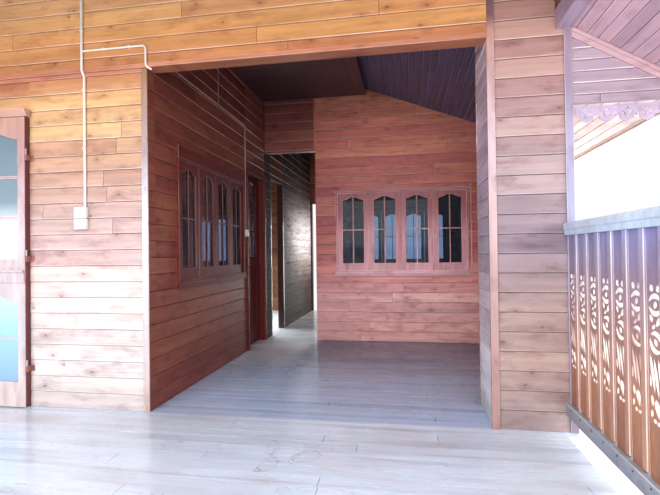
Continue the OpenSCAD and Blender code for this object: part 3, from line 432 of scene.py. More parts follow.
# Balustrades
RAIL_WOOD = wood_set("balustrade_rail_wood", pale=RAIL_LIGHT_AND_SHADE, deep=0.86, knots=0.0, edge=0.5, smudges=0.15)
PANEL_WOOD = wood_set("balustrade_panel_wood", pale=PANEL_LIGHT_AND_SHADE, deep=0.8, knots=0.1, edge=0.9)
STRIP_WOOD = wood_set("balustrade_strip_wood", pale=STRIP_LIGHT_AND_SHADE, deep=0.86, knots=0.1, edge=0.95)


# Floor varnish
BARE_FLOOR = (186, 166, 168)
FLAKE_LINE = (120, 112, 120)
LIFTED = (206, 206, 212)
LIFTED_RIM = (112, 110, 118)
# Painted light: the strip of floor where the passage's daylight crosses
PASSAGE_DAYLIGHT = (250, 252, 255)


def lifted(tree, base, place, ragged, spot):
    """One spot where the varnish has lifted: pale, with a dark ragged rim."""
    x, y, half_long, half_wide, turn = spot
    local = add(tree, "ShaderNodeMapping", {
        "Vector": place, "Location": (x, y, FLOOR), "Scale": (half_long, half_wide, 1.0),
        "Rotation": (0, 0, math.radians(turn))}, vector_type="TEXTURE").outputs[0]
    from_centre = add(tree, "ShaderNodeVectorMath", {0: local}, operation="LENGTH").outputs["Value"]
    away = calc(tree, "ADD", from_centre, ragged)
    rim = ranged(tree, apart(tree, away, 1.0), 0.0, 0.07, 0.55, 0.0)
    base = mixed(tree, ranged(tree, away, 1.0, 0.9, 0.0, 0.2), base, colour(*LIFTED))
    return mixed(tree, rim, base, colour(*LIFTED_RIM))


def tinted_back(tree, base, parts, back, across, most, tint):
    """A tint that comes in between two distances back and two places across, up to a share of most."""
    share = calc(tree, "MULTIPLY", ranged(tree, parts[1], *back), ranged(tree, parts[0], *across, 0.0, most))
    return mixed(tree, share, base, colour(*tint))


def floor_varnish(name, pale, deep, peeled, shade=None, gloss=0.5, flakes=()):
    """Grey-lilac floorboards under a worn glossy varnish. peeled is how far it is worn through.

    shade is a painted shade, a darker colour towards the back of the porch, where the sun does not reach.
    Beside it lies a painted light, the paler strip that daylight from the passage crosses. flakes are spots
    where the
    varnish has lifted: centre, half sizes and turn.
    """
    material, tree, surface = new_material(name)
    place = place_on(tree)
    parts = split(tree, place)
    board = mark(tree, "tone")
    shift = calc(tree, "MULTIPLY", board, 53.0)
    grain = combined(tree, calc(tree, "MULTIPLY_ADD", parts[0], 1.6, shift),
                     calc(tree, "MULTIPLY", parts[1], 60.0))
    fibre = noise(tree, grain, detail=3.0)
    drawn = stretch(tree, place, (0.7, 2.2, 1.0))
    worn = noise(tree, drawn, 1.6, 5.0, 0.62, 0.4)
    stain = noise(tree, drawn, 0.7, 3.0, 0.5)
    flake = noise(tree, drawn, 4.2, 2.0, 0.5, 0.9)
    outline = ranged(tree, apart(tree, flake, 0.64), 0.0, 0.006, 1.0, 0.0)
    base = mixed(tree, fibre, colour(*pale), colour(*deep))
    base = toned(tree, base, calc(tree, "MULTIPLY_ADD", calc(tree, "SUBTRACT", board, 0.5), 0.1, 1.0))
    base = mixed(tree, ranged(tree, worn, 0.52, 0.7, 0.0, peeled), base, colour(*BARE_FLOOR))
    stained = colour(*[v * 0.86 for v in deep])
    base = mixed(tree, ranged(tree, stain, 0.52, 0.7, 0.0, 0.4), base, stained)
    base = mixed(tree, calc(tree, "MULTIPLY", outline, peeled), base, colour(*FLAKE_LINE))
    streak = noise(tree, stretch(tree, place, (0.45, 11.0, 1.0)), 1.0, 4.0, 0.65, 0.5)
    streaked = colour(*[v * 0.72 for v in deep])
    base = mixed(tree, ranged(tree, streak, 0.5, 0.72, 0.0, 0.55), base, streaked)
    ragged = calc(tree, "MULTIPLY", calc(tree, "SUBTRACT", noise(tree, place, 14.0, 4.0, 0.6), 0.5), 1.7)
    for spot in flakes:
        base = lifted(tree, base, place, ragged, spot)
    if shade:
        # Painted shade towards the back of the porch, then the painted light of the passage's daylight strip
        base = tinted_back(tree, base, parts, (0.0, 1.5), (0.75, 1.0), 0.86, shade)
        base = tinted_back(tree, base, parts, (0.2, 1.3), (0.92, 0.76), 0.9, PASSAGE_DAYLIGHT)
    rough = calc(tree, "MAXIMUM", ranged(tree, worn, 0.35, 0.7, 0.14, 0.42), 0.1)
    finish_surface(tree, surface, base, rough, calc(tree, "ADD", fibre, worn), 0.2, 0.0008,
                   Coat_Weight=gloss, Coat_Roughness=0.12, Specular_IOR_Level=gloss)
    return material


# Concrete, sheet metal, glass, plastic and steel
def concrete(name="concrete"):
    material, tree, surface = new_material(name)
    place = place_on(tree)
    grit = noise(tree, place, 60.0, 5.0, 0.7)
    cloud = noise(tree, place, 2.5, 4.0, 0.6)
    base = mixed(tree, cloud, colour(206, 200, 190), colour(164, 158, 148))
    base = mixed(tree, ranged(tree, grit, 0.45, 0.75, 0.0, 0.4), base, colour(120, 116, 108))
    finish_surface(tree, surface, base, ranged(tree, grit, 0.2, 0.8, 0.75, 0.95),
                   calc(tree, "MULTIPLY_ADD", cloud, 0.5, grit), 0.5, 0.002)
    return material


def painted_sheet(name="roof_sheets"):
    """Red-brown roof sheets, streaked down the slope and lichened, bare metal grey underneath."""
    material, tree, surface = new_material(name)
    place = place_on(tree)
    run = noise(tree, stretch(tree, place, (0.5, 6.0, 0.5)), 1.5, 5.0, 0.6)
    spots = noise(tree, place, 9.0, 5.0, 0.65)
    base = mixed(tree, run, colour(150, 72, 54), colour(104, 48, 40))
    base = mixed(tree, ranged(tree, spots, 0.58, 0.72, 0.0, 0.5), base, colour(122, 104, 90))
    facing = split(tree, add(tree, "ShaderNodeTexCoord").outputs["Normal"])[2]
    base = mixed(tree, ranged(tree, facing, -0.2, -0.5), base, colour(226, 226, 228))
    finish_surface(tree, surface, base, ranged(tree, run, 0.2, 0.8, 0.5, 0.75), spots, 0.3, 0.001)
    return material


def pane(name, tint, weight, rough, ior):
    """Tinted window glass with faint dust. tint is a colour, or stops of height and colour that paint in a
    reflection.
    """
    material, tree, surface = new_material(name)
    place = place_on(tree)
    dust = noise(tree, place, 14.0, 4.0, 0.6)
    clean = tinted(tree, split(tree, place)[2], tint)
    base = mixed(tree, ranged(tree, dust, 0.3, 0.7, 0.0, 0.1), clean, colour(150, 160, 166))
    finish_surface(tree, surface, base, ranged(tree, dust, 0.3, 0.7, rough, rough + 0.04), dust,
                   0.05, 0.0005, Transmission_Weight=weight, IOR=ior)
    return material


def plastic(name, clean, grimy):
    material, tree, surface = new_material(name)
    grime = noise(tree, place_on(tree), 18.0, 4.0, 0.6)
    base = mixed(tree, ranged(tree, grime, 0.5, 0.75, 0.0, 0.5), colour(*clean), colour(*grimy))
    finish_surface(tree, surface, base, ranged(tree, grime, 0.2, 0.8, 0.3, 0.45), grime, 0.1, 0.0004)
    return material


def steel(name="hinge_steel"):
    material, tree, surface = new_material(name)
    spots = noise(tree, place_on(tree), 120.0, 4.0, 0.6)
    base = mixed(tree, spots, colour(150, 146, 140), colour(110, 100, 92))
    finish_surface(tree, surface, base, ranged(tree, spots, 0.3, 0.7, 0.3, 0.5), spots, 0.2, 0.0003,
                   Metallic=1.0)
    return material


FLAKES = ((1.24, -1.42, 0.034, 0.09, 10), (1.27, -1.62, 0.042, 0.09, -12), (1.46, -1.5, 0.08, 0.06, 24),
          (1.52, -1.38, 0.05, 0.05, 24), (1.42, -1.86, 0.035, 0.03, 0))
DECK_BOARDS = floor_varnish("deck_floor_wood", (232, 242, 255), (210, 220, 238), 0.5, flakes=FLAKES)
# The house floor carries a painted shade colour towards the back of the porch
HOUSE_BOARDS = floor_varnish("house_floor_wood", (196, 214, 242), (164, 178, 208), 0.3, (32, 60, 94),
                             gloss=0.22)
CONCRETE = concrete()
ROOF_SHEETS = painted_sheet()
# Painted reflection in the double door's glass, as colours that change with height
PANE_PAINTED_REFLECTION = [
    (0.18, (150, 194, 236)), (0.6, (176, 222, 250)), (0.8, (206, 240, 252)), (1.1, (240, 250, 252)),
    (1.34, (218, 230, 236)), (1.5, (130, 152, 164)), (2.0, (118, 140, 152))]
DARK_GLASS = pane("dark_glass", (170, 188, 214), 0.97, 0.0, 1.45)
PALE_GLASS = pane("pale_glass", PANE_PAINTED_REFLECTION, 0.2, 0.12, 1.5)
WHITE_PLASTIC = plastic("white_plastic", (226, 222, 214), (196, 184, 170))
# Painted shade: a darker copy of the white plastic for the conduit inside the porch, with its own grime
SHADED_PLASTIC = plastic("aged_plastic", (186, 160, 154), (150, 124, 116))
STEEL = steel()


# Mesh helpers
def shown(mesh, name):
    obj = bpy.data.objects.new(name, mesh)
    bpy.context.scene.collection.objects.link(obj)
    return obj


def settled(obj):
    """The evaluated shape of an object as a plain mesh, its modifiers gone."""
    graph = bpy.context.evaluated_depsgraph_get()
    mesh = bpy.data.meshes.new_from_object(obj.evaluated_get(graph))
    obj.modifiers.clear()
    obj.data = mesh
    return obj


def meshed(curve, name):
    """A curve drawn as a mesh."""
    drawn = shown(curve, name)
    graph = bpy.context.evaluated_depsgraph_get()
    mesh = bpy.data.meshes.new_from_object(drawn.evaluated_get(graph))
    bpy.data.objects.remove(drawn)
    return shown(mesh, name)


def joined(objects, name):
    """Several pieces as one, made from the first of them."""
    if len(objects) > 1:
        with bpy.context.temp_override(active_object=objects[0], object=objects[0],
                                       selected_objects=objects, selected_editable_objects=objects):
            bpy.ops.object.join()
    objects[0].name = name
    return objects[0]


def finished(shape, name):
    """A worked shape as a mesh."""
    mesh = bpy.data.meshes.new(name)
    shape.to_mesh(mesh)
    shape.free()
    return mesh


def sides_between(shape, near, far):
    """The faces between two outlines of as many points."""
    count = len(near)
    corners = [(i, (i + 1) % count) for i in range(count)]
    return [shape.faces.new((near[i], near[j], far[j], far[i])) for i, j in corners]


def timber(low, high, ease=0.002, name="timber"):
    """A squared length of wood with its edges eased, from its lowest to its highest corner."""
    shape = bmesh.new()
    bmesh.ops.create_cube(shape, size=1.0)
    low, high = Vector(low), Vector(high)
    for vert in shape.verts:
        vert.co = Vector([(a + b) / 2 + c * (b - a) for a, b, c in zip(low, high, vert.co)])
    rim = shape.faces.layers.float.new("edge")
    rounding = bmesh.ops.bevel(shape, geom=shape.edges, offset=ease, segments=2, profile=0.6,
                               affect="EDGES")
    for face in rounding["faces"]:
        face[rim] = 1.0
    return shown(finished(shape, name), name)


def prism(outline, near, far):
    """A solid from an outline of x and z, between two depths along Y."""
    shape = bmesh.new()
    ends = [[shape.verts.new((x, y, z)) for x, z in outline] for y in (near, far)]
    sides_between(shape, *ends)
    shape.faces.new(ends[0])
    shape.faces.new(ends[1])
    bmesh.ops.recalc_face_normals(shape, faces=shape.faces)
    return finished(shape, "prism")


def pierced(outline, holes, thick, ease=0.0008, name="pierced"):
    """A flat board in the XZ plane, centred on Y 0, from an outline and the outlines of its holes."""
    curve = bpy.data.curves.new(name, "CURVE")
    curve.dimensions = "2D"
    curve.fill_mode = "BOTH"
    curve.extrude = thick / 2 - ease
    curve.bevel_depth = ease
    curve.bevel_resolution = 0
    curve.offset = -ease
    for points in [outline] + holes:
        line = curve.splines.new("POLY")
        line.points.add(len(points) - 1)
        for point, (u, v) in zip(line.points, points):
            point.co = (u, v, 0, 1)
        line.use_cyclic_u = True
    board = meshed(curve, name)
    board.data.transform(Matrix.Rotation(math.pi / 2, 4, "X"))
    rim = board.data.attributes.new("edge", "FLOAT", "FACE")
    for face, value in zip(board.data.polygons, rim.data):
        value.value = 1.0 if abs(face.normal.y) < 0.9 else 0.0
    return board


def dressed(piece, name, material, body="house", replaced=()):
    """Names a finished piece, gives it its material and fixes it to its body."""
    piece.name = name
    if material:
        piece.data.materials.clear()
        piece.data.materials.append(material)
        for face in piece.data.polygons:
            face.material_index = 0
    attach(piece, body)
    if replaced:
        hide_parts(*replaced)
    return piece


# Rows and boards, laid by Geometry Nodes
def open_tree(name, inputs):
    """A tree that takes and gives Geometry, with its other inputs, and the sockets that give them."""
    tree = bpy.data.node_groups.new(name, "GeometryNodeTree")
    for title, kind in (("Geometry", "Geometry"), *inputs):
        tree.interface.new_socket(title, in_out="INPUT", socket_type="NodeSocket" + kind)
    tree.interface.new_socket("Geometry", in_out="OUTPUT", socket_type="NodeSocketGeometry")
    return tree, tree.nodes.new("NodeGroupInput").outputs


def close_tree(tree, result):
    tree.links.new(result, tree.nodes.new("NodeGroupOutput").inputs[0])
    return tree


def stored(tree, geometry, name, value, domain):
    """Geometry with a number kept on it under a name."""
    return add(tree, "GeometryNodeStoreNamedAttribute", {"Geometry": geometry, "Name": name, "Value": value},
               data_type="FLOAT", domain=domain).outputs[0]


def placed_copies(tree, points, piece, **inputs):
    """A copy of a piece on every point."""
    source = add(tree, "GeometryNodeObjectInfo", {"Object": piece, "As Instance": True})
    return add(tree, "GeometryNodeInstanceOnPoints", {
        "Points": points, "Instance": source.outputs["Geometry"], **inputs}).outputs[0]


# The random draws behind the tones along a row of copies, and the boards of the sloping ceilings
ROW_SEED = 5
SLOPE_SEED = 7


def row_tree():
    """Copies of a piece in a row: Count copies from First, each a Step on, joined to what is there."""
    tree, given = open_tree("Row", (
        ("Piece", "Object"), ("Count", "Int"), ("First", "Vector"), ("Step", "Vector"),
        ("Material", "Material")))
    line = add(tree, "GeometryNodeMeshLine", {
        "Count": given["Count"], "Start Location": given["First"], "Offset": given["Step"]}, mode="OFFSET")
    laid = placed_copies(tree, line.outputs[0], given["Piece"])
    shade = add(tree, "FunctionNodeRandomValue", {"Seed": ROW_SEED}, data_type="FLOAT")
    marked = stored(tree, laid, "tone", shade.outputs[1], "INSTANCE")
    real = add(tree, "GeometryNodeRealizeInstances", {0: marked})
    finish = add(tree, "GeometryNodeSetMaterial", {
        "Geometry": real.outputs[0], "Material": given["Material"]})
    both = add(tree, "GeometryNodeJoinGeometry")
    tree.links.new(finish.outputs[0], both.inputs[0])
    tree.links.new(given["Geometry"], both.inputs[0])
    return close_tree(tree, both.outputs[0])


def row_of(base, piece, count, first, step, material):
    """Adds a row of copies of a piece to base, and gives back base as a plain mesh."""
    modifier = base.modifiers.new("row", "NODES")
    modifier.node_group = ROW
    set_inputs(modifier, {
        "Piece": piece, "Count": count, "First": first, "Step": step, "Material": material})
    return settled(base)


def empty_piece(name):
    return shown(bpy.data.meshes.new(name), name)


def box_middle(verts):
    """The middle of the box round some vertices, to 0.01 mm, whatever order they come in."""
    return [round((min(values) + max(values)) / 2, 5) for values in zip(*(vert.co for vert in verts))]


def islands(whole):
    """The groups of joined vertices in a shape, in the order of their boxes' middles."""
    unseen = set(whole.verts)
    found = []
    while unseen:
        group = {unseen.pop()}
        to_follow = list(group)
        while to_follow:
            for edge in to_follow.pop().link_edges:
                fresh = set(edge.verts) - group
                group |= fresh
                to_follow += fresh
        unseen -= group
        found.append(group)
    return sorted(found, key=box_middle)


def solids(node):
    """The separate solids of a CAD node, each as a merged mesh of flat faces."""
    whole = bmesh.new()
    whole.from_mesh(frame["nodes"][node].data)
    bmesh.ops.remove_doubles(whole, verts=whole.verts, dist=1e-5)
    bmesh.ops.dissolve_limit(whole, angle_limit=math.radians(0.5), verts=whole.verts, edges=whole.edges)
    whole.verts.index_update()
    meshes = []
    for group in islands(whole):
        mesh = bpy.data.meshes.new(node)
        piece = whole.copy()
        keep = {vert.index for vert in group}
        others = [vert for vert in piece.verts if vert.index not in keep]
        bmesh.ops.delete(piece, geom=others, context="VERTS")
        piece.to_mesh(mesh)
        piece.free()
        meshes.append(mesh)
    whole.free()
    return meshes


def reach(mesh, axis):
    """Lowest and highest of a mesh along an axis."""
    values = [v.co.dot(axis) for v in mesh.vertices]
    return min(values), max(values)


def corners_of(*meshes):
    """The lowest and the highest corner of the box round one or more meshes."""
    spans = [[reach(mesh, axis) for mesh in meshes] for axis in (X, Y, Z)]
    return (Vector([min(low for low, high in span) for span in spans]),
            Vector([max(high for low, high in span) for span in spans]))


def board_blank(row, thick, lean, ease=1.0, gap=BOARD_GAP):
    """One board a metre long: face towards -Y, a rounded lower edge and a face that leans back by lean."""
    top = row - gap
    outline = [(thick, 0.0), (0.0045 * ease, 0.0), (0.0012 * ease, 0.0018 * ease), (0.0003, 0.0052 * ease),
               (0.0003 + lean, top - 0.003 * ease), (0.0028 * ease + lean, top), (thick, top)]
    shape = bmesh.new()
    ends = [[shape.verts.new((x, y, z)) for y, z in outline] for x in (0.0, 1.0)]
    rim = shape.faces.layers.float.new("edge")
    for number, face in enumerate(sides_between(shape, *ends)):
        face[rim] = 1.0 if number in (1, 2) else 0.0
    shape.faces.new(ends[0][::-1])
    shape.faces.new(ends[1])
    bmesh.ops.recalc_face_normals(shape, faces=shape.faces)
    return shown(finished(shape, "board_blank"), "board_blank")


def boarding_tree():
    """Rows of boards laid over the -Y face of a solid and cut to its outline."""
    tree, given = open_tree("Boarding", (
        ("Board", "Object"), ("Rows from", "Float"), ("Row", "Float"), ("Board length", "Float"),
        ("Seed", "Int"), ("Material", "Material")))
    solid = given["Geometry"]
    row_size, length, seed = given["Row"], given["Board length"], given["Seed"]
    box = add(tree, "GeometryNodeBoundBox", {0: solid})
    low = split(tree, box.outputs["Min"])
    high = split(tree, box.outputs["Max"])

    def rows_to(height):
        return calc(tree, "DIVIDE", calc(tree, "SUBTRACT", height, given["Rows from"]), row_size)

    first = calc(tree, "FLOOR", rows_to(low[2]))
    rows = calc(tree, "SUBTRACT", calc(tree, "CEIL", rows_to(high[2])), first)
    columns = calc(tree, "CEIL", calc(tree, "DIVIDE", calc(tree, "SUBTRACT", high[0], low[0]), length))
    columns = calc(tree, "ADD", columns, 1.0)
    index = tree.nodes.new("GeometryNodeInputIndex").outputs[0]
    row = calc(tree, "FLOOR", calc(tree, "DIVIDE", calc(tree, "ADD", index, 0.5), columns))
    column = calc(tree, "SUBTRACT", index, calc(tree, "MULTIPLY", row, columns))
    stagger = add(tree, "FunctionNodeRandomValue", {"ID": row, "Seed": seed}, data_type="FLOAT")
    along = calc(tree, "MULTIPLY", calc(tree, "SUBTRACT", column, stagger.outputs[1]), length)
    place = combined(
        tree, calc(tree, "ADD", low[0], along), low[1],
        calc(tree, "MULTIPLY_ADD", calc(tree, "ADD", first, row), row_size, given["Rows from"]))
    points = add(tree, "GeometryNodePoints", {
        "Count": calc(tree, "MULTIPLY", rows, columns), "Position": place})
    size = combined(tree, calc(tree, "SUBTRACT", length, BOARD_GAP), 1.0, 1.0)
    laid = placed_copies(tree, points.outputs[0], given["Board"], Scale=size)
    shade = add(tree, "FunctionNodeRandomValue", {"Seed": seed}, data_type="FLOAT")
    marked = stored(tree, laid, "shade", shade.outputs[1], "INSTANCE")
    real = add(tree, "GeometryNodeRealizeInstances", {0: marked})
    kept = add(tree, "GeometryNodeInputNamedAttribute", {"Name": "shade"}, data_type="FLOAT")
    shaded = stored(tree, real.outputs[0], "tone", kept.outputs["Attribute"], "FACE")
    cut = add(tree, "GeometryNodeMeshBoolean", operation="INTERSECT", solver="MANIFOLD")
    tree.links.new(shaded, cut.inputs["Mesh 2"])
    tree.links.new(solid, cut.inputs["Mesh 2"])
    coat = add(tree, "GeometryNodeSetMaterial", {"Geometry": cut.outputs[0], "Material": given["Material"]})
    return close_tree(tree, coat.outputs[0])


def set_inputs(modifier, values):
    """Sets a Geometry Nodes modifier's inputs by their sockets' identifiers."""
    for item in modifier.node_group.interface.items_tree:
        if item.name in values and item.in_out == "INPUT":
            modifier[item.identifier] = values[item.name]


ROW = row_tree()
BOARDING = boarding_tree()
WALL_BLANK = board_blank(WALL_ROW, WALL_BOARD, WALL_LEAN)
NARROW_BLANK = board_blank(NARROW_ROW, LINING_BOARD, NARROW_LEAN)
FRONT_BLANK = board_blank(FRONT_ROW, WALL_BOARD, WALL_LEAN)
FLOOR_BLANK = board_blank(FLOOR_ROW, FLOOR_BOARD, 0.0, 0.12, FLOOR_GAP)
ROWS = {
    "wall": (WALL_BLANK, WALL_ROW, WALL_BOARD),
    "front": (FRONT_BLANK, FRONT_ROW, WALL_BOARD),
    "narrow": (NARROW_BLANK, NARROW_ROW, LINING_BOARD),
    "floor": (FLOOR_BLANK, FLOOR_ROW, FLOOR_BOARD)}


def one_face(solid, along, out, kind, material, seed, length, rows_from):
    """The boards on one face of a solid. along is the boards' direction and out the way that they face."""
    up = along.cross(-out)
    to_bench = Matrix((along, -out, up))
    mesh = solid.copy()
    mesh.transform(to_bench.to_4x4())
    piece = shown(mesh, "boards")
    blank, row = ROWS[kind][:2]
    modifier = piece.modifiers.new("boarding", "NODES")
    modifier.node_group = BOARDING
    set_inputs(modifier, {"Board": blank, "Rows from": rows_from, "Row": row, "Board length": length,
                          "Seed": seed, "Material": material})
    settled(piece)
    piece.data.transform(to_bench.transposed().to_4x4())
    return piece


def core_behind(solid, faces, kind, material, groove=GROOVE_SHADE):
    """The core behind the boards: the faces that they cover move in by their depth and turn dark, a painted
    shadow for the gaps between the boards.
    """
    depth = ROWS[kind][2] + CORE_SETBACK
    core = solid.copy()
    for out in faces:
        top = reach(solid, out)[1]
        for vert, old in zip(core.vertices, solid.vertices):
            if top - old.co.dot(out) < 1e-4:
                vert.co -= out * depth
        for face, old in zip(core.polygons, solid.polygons):
            if old.normal.dot(out) > 0.99 and top - old.center.dot(out) < 1e-3:
                face.material_index = 1
    piece = shown(core, "core")
    piece.data.materials.append(material)
    piece.data.materials.append(groove)
    return piece


def wall_faces(solid):
    """The two faces of a wall, across its thin way, under the letter of the level way along it."""
    low, high = corners_of(solid)
    if high.y - low.y < high.x - low.x:
        return {"X": [-Y, Y]}
    return {"Y": [X, -X]}


def boarded(node, woods, faces=None, kind="wall", length=2.6, rows_from=FLOOR, shapes=None,
            name=None):
    """Boards laid on a CAD node's solids, over a core, as one piece in the node's place.

    faces maps the boards' direction to the directions they face. shapes are used in the solids' place.
    """
    pieces = []
    seed = sum(ord(letter) for letter in node)
    for solid in shapes or solids(node):
        ways = faces or wall_faces(solid)
        outs = []
        for letter, directions in ways.items():
            for out in directions:
                along = {"X": X, "Y": Y, "Z": Z}[letter]
                if along.cross(-out).dot(Z) < -0.01:
                    along = -along
                pieces.append(one_face(solid, along, out, kind, woods[letter], seed + len(pieces), length,
                                       rows_from))
                outs.append(out)
        pieces.append(core_behind(solid, outs, kind, woods[next(iter(ways))]))
    piece = joined(pieces, name or node + "_boards")
    return dressed(piece, piece.name, None, replaced=[node])


def eased(node, material, width=0.002, segments=2, body="house", pick=None, name=None):
    """A CAD node with its sharp edges rounded, in the node's place. pick chooses some of its solids."""
    parts = [shown(solid, "part") for solid in solids(node) if not pick or pick(solid)]
    piece = joined(parts, name or node + "_eased")
    bevel = piece.modifiers.new("ease", "BEVEL")
    bevel.width = width
    bevel.segments = segments
    bevel.limit_method = "ANGLE"
    bevel.angle_limit = math.radians(35)
    bevel.material = 1
    piece.data.materials.clear()
    piece.data.materials.append(material)
    piece.data.materials.append(material)
    settled(piece)
    rim = piece.data.attributes.new("edge", "FLOAT", "FACE")
    for face, value in zip(piece.data.polygons, rim.data):
        value.value = float(face.material_index)
    return dressed(piece, piece.name, material, body, [node])


# Walls, floors and ceilings
def board_the_front_wall():
    """The front wall's boards stop a board short of the porch, whose own boards cover its end."""
    fronts = solids("front_wall")
    for solid in fronts:
        for vert in solid.vertices:
            if SIDE_WALL - vert.co.x < 1e-3:
                vert.co.x -= WALL_BOARD + 0.001
    boarded("front_wall", FRONT_BOARDS, None, "front", 3.4, shapes=fronts)
    inner = SIDE_WALL - 0.03
    end = prism([(inner, FLOOR), (SIDE_WALL, FLOOR), (SIDE_WALL, BAND), (inner, BAND)],
                FRONT + 0.0005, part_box("front_wall")[1][1])
    boarded("front_wall", PORCH_BOARDS, {"Y": [X]}, length=3.6, shapes=[end],
            name="front_wall_end_boards")


def board_the_walls():
    board_the_front_wall()
    boarded("front_gable", FRONT_BOARDS, kind="front", length=2.7)
    boarded("deck_gable", GABLE_BOARDS, length=3.0)
    boarded("corner_pier", dict(PIER_BOARDS, Y=PIER_SIDE), {"X": [-Y, Y], "Y": [X, -X]},
            length=60.0)
    boarded("porch_back_wall", BACK_BOARDS, length=2.3)
    boarded("porch_side_wall", PORCH_BOARDS, length=3.6)
    boarded("porch_side_wall_rear", PASSAGE_BOARDS, length=3.6)
    boarded("passage_wall", PASSAGE_BOARDS, length=2.3)
    over = solids("walls_over_doors")
    outside = [solid for solid in over if reach(solid, Y)[0] < FRONT + 0.1]
    inside = [solid for solid in over if reach(solid, Y)[0] > FRONT + 0.1]
    boarded("walls_over_doors", FRONT_BOARDS, None, "front", 3.4, shapes=outside,
            name="wall_over_front_door")
    boarded("walls_over_doors", OVER_BOARDS, length=2.3, shapes=inside,
            name="walls_over_doorways")
    for node in ("left_wall", "right_wall", "rear_wall", "rear_gable"):
        boarded(node, OUTER_BOARDS, length=2.8)


def lay_the_floors():
    for node, varnish in (("deck_floor", DECK_BOARDS), ("house_floor", HOUSE_BOARDS)):
        boarded(node, {"X": varnish}, {"X": [Z, -Z]}, "floor", 2.4, 0.0)


def underside(solid):
    """The way that a sloping board's underside faces."""
    lowest = min(solid.polygons, key=lambda face: face.normal.z if face.area > 0.5 else 1)
    return lowest.normal.copy()


def line_the_ceilings():
    boarded("ceiling_flat", CEILING_WOOD, {"X": [-Z]}, "narrow", 1.9, 0.0)
    for node, woods, groove, slot in (("ceiling_slope", SLOPE_WOOD, GROOVE_SHADE, "ceiling_wood"),
                                      ("eave_soffits", SOFFIT_BOARDS, SOFFIT_GROOVE_SHADE, "soffit_boards")):
        pieces = []
        for number, solid in enumerate(solids(node)):
            out = underside(solid)
            pieces.append(one_face(solid, Y, out, "narrow", woods["Y"], number + SLOPE_SEED, 3.1, 0.0))
            pieces.append(core_behind(solid, [out], "narrow", woods["Y"], groove))
        dressed(joined(pieces, node + "_boards"), node + "_boards", None, replaced=[node])


board_the_walls()
lay_the_floors()
line_the_ceilings()


# Frame, trim and joinery
def ease_the_corner_boards():
    """The boards that close the wall's corner and both corners of the pier, each in its own wood."""
    for woods, name, edge in ((CORNER_WOOD, "wall_corner_board", SIDE_WALL),
                              (PIER_CORNER, "pier_left_board", PIER_LEFT),
                              (PIER_LILAC, "pier_right_board", PIER_RIGHT)):
        eased("corner_boards", woods["Z"], name=name,
              pick=lambda solid, x=edge: min(abs(side - x) for side in reach(solid, X)) < 0.01)


def inner_doorway_head(back):
    """The height of the inner doorway's head, under the wall over it and left of the back wall."""
    heads = []
    for solid in solids("walls_over_doors"):
        low, high = corners_of(solid)
        if back[0][1] - 0.01 < low.y and high.y < 2:
            if SIDE_WALL - 0.01 < low.x and high.x < back[0][0] + 0.01:
                heads.append(low.z)
    return min(heads)


def fit_the_strips():
    """Cover strips under and over the front band, and the strip at the back wall's left end."""
    strips = [
        timber((-3.0, FRONT - 0.031, BAND), (PIER_LEFT, FRONT - 0.025, BAND + 0.027), 0.002),
        timber((-3.0, FRONT - 0.012, BAND - 0.024), (SIDE_WALL - 0.046, FRONT, BAND), 0.003)]
    dressed(joined(strips, "strips"), "band_cover_strips", COVER_WOOD["X"])
    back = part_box("porch_back_wall")
    left, face = back[0][:2]
    corner = timber((left - 0.012, face - 0.009, inner_doorway_head(back)),
                    (left + 0.012, face, CEILING), 0.003)
    dressed(corner, "porch_corner_strip", BACK_BOARDS["Z"])


def ease_the_frame():
    eased("footings", CONCRETE, 0.012)
    eased("stilts", CONCRETE, 0.008)
    eased("floor_bearers", FRAME_TIMBER["X"], 0.004)
    eased("floor_joists", FRAME_TIMBER["Y"], 0.003)
    eased("tie_beams", FRAME_TIMBER["X"], 0.004)
    eased("wall_plates", PLATE_WOOD["Y"], 0.004)
    eased("rafters", FRAME_TIMBER["X"], 0.003)
    eased("purlins", FRAME_TIMBER["Y"], 0.002)
    eased("ceiling_beam", CEILING_WOOD["Y"], 0.003)
    eased("deck_posts", TRIM_WOOD["Z"], 0.004)
    ease_the_corner_boards()
    eased("eave_fascias", FASCIA_WOOD["Y"], 0.003)
    eased("barge_boards", TRIM_WOOD["X"], 0.003)
    eased("doorway_linings", DARK_LINING["Z"], 0.003)
    fit_the_strips()


# The cornice lies wholly over this height above the floor, and a hinge block is narrower than this
CORNICE_FROM = 2.12
HINGE_WIDTH = 0.05


def is_cornice(solid):
    return reach(solid, Z)[0] > FLOOR + CORNICE_FROM


def is_hinge_block(solid):
    low, high = reach(solid, X)
    return high - low < HINGE_WIDTH


def hang_the_double_door():
    """The double door's cornice, hinge blocks, frame and leaves. The leaves' edges have their own wood, with
    a painted shadow on their part next to the wall.
    """
    eased("front_door_frame", DOOR_WOOD["X"], 0.004, pick=is_cornice,
          name="front_door_cornice")
    eased("front_door_frame", TRIM_WOOD["Z"], 0.002, pick=is_hinge_block,
          name="front_door_hinge_blocks")
    # The frame in its painted shade colour
    eased("front_door_frame", SHADED_DOOR_FRAME["Z"], 0.002,
          pick=lambda solid: not is_cornice(solid) and not is_hinge_block(solid))
    for side in ("right", "left"):
        node = "front_door_" + side
        door_leaf = eased(node, DOOR_WOOD["Z"], 0.0015, body="front_leaf_" + side)
        door_leaf.data.materials.append(LEAF_SIDE_SHADED)
        ends = (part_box(node)[0][0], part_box(node)[1][0])
        for face in door_leaf.data.polygons:
            if abs(face.normal.x) > 0.9 and min(abs(face.center.x - end) for end in ends) < 0.03:
                face.material_index = 1


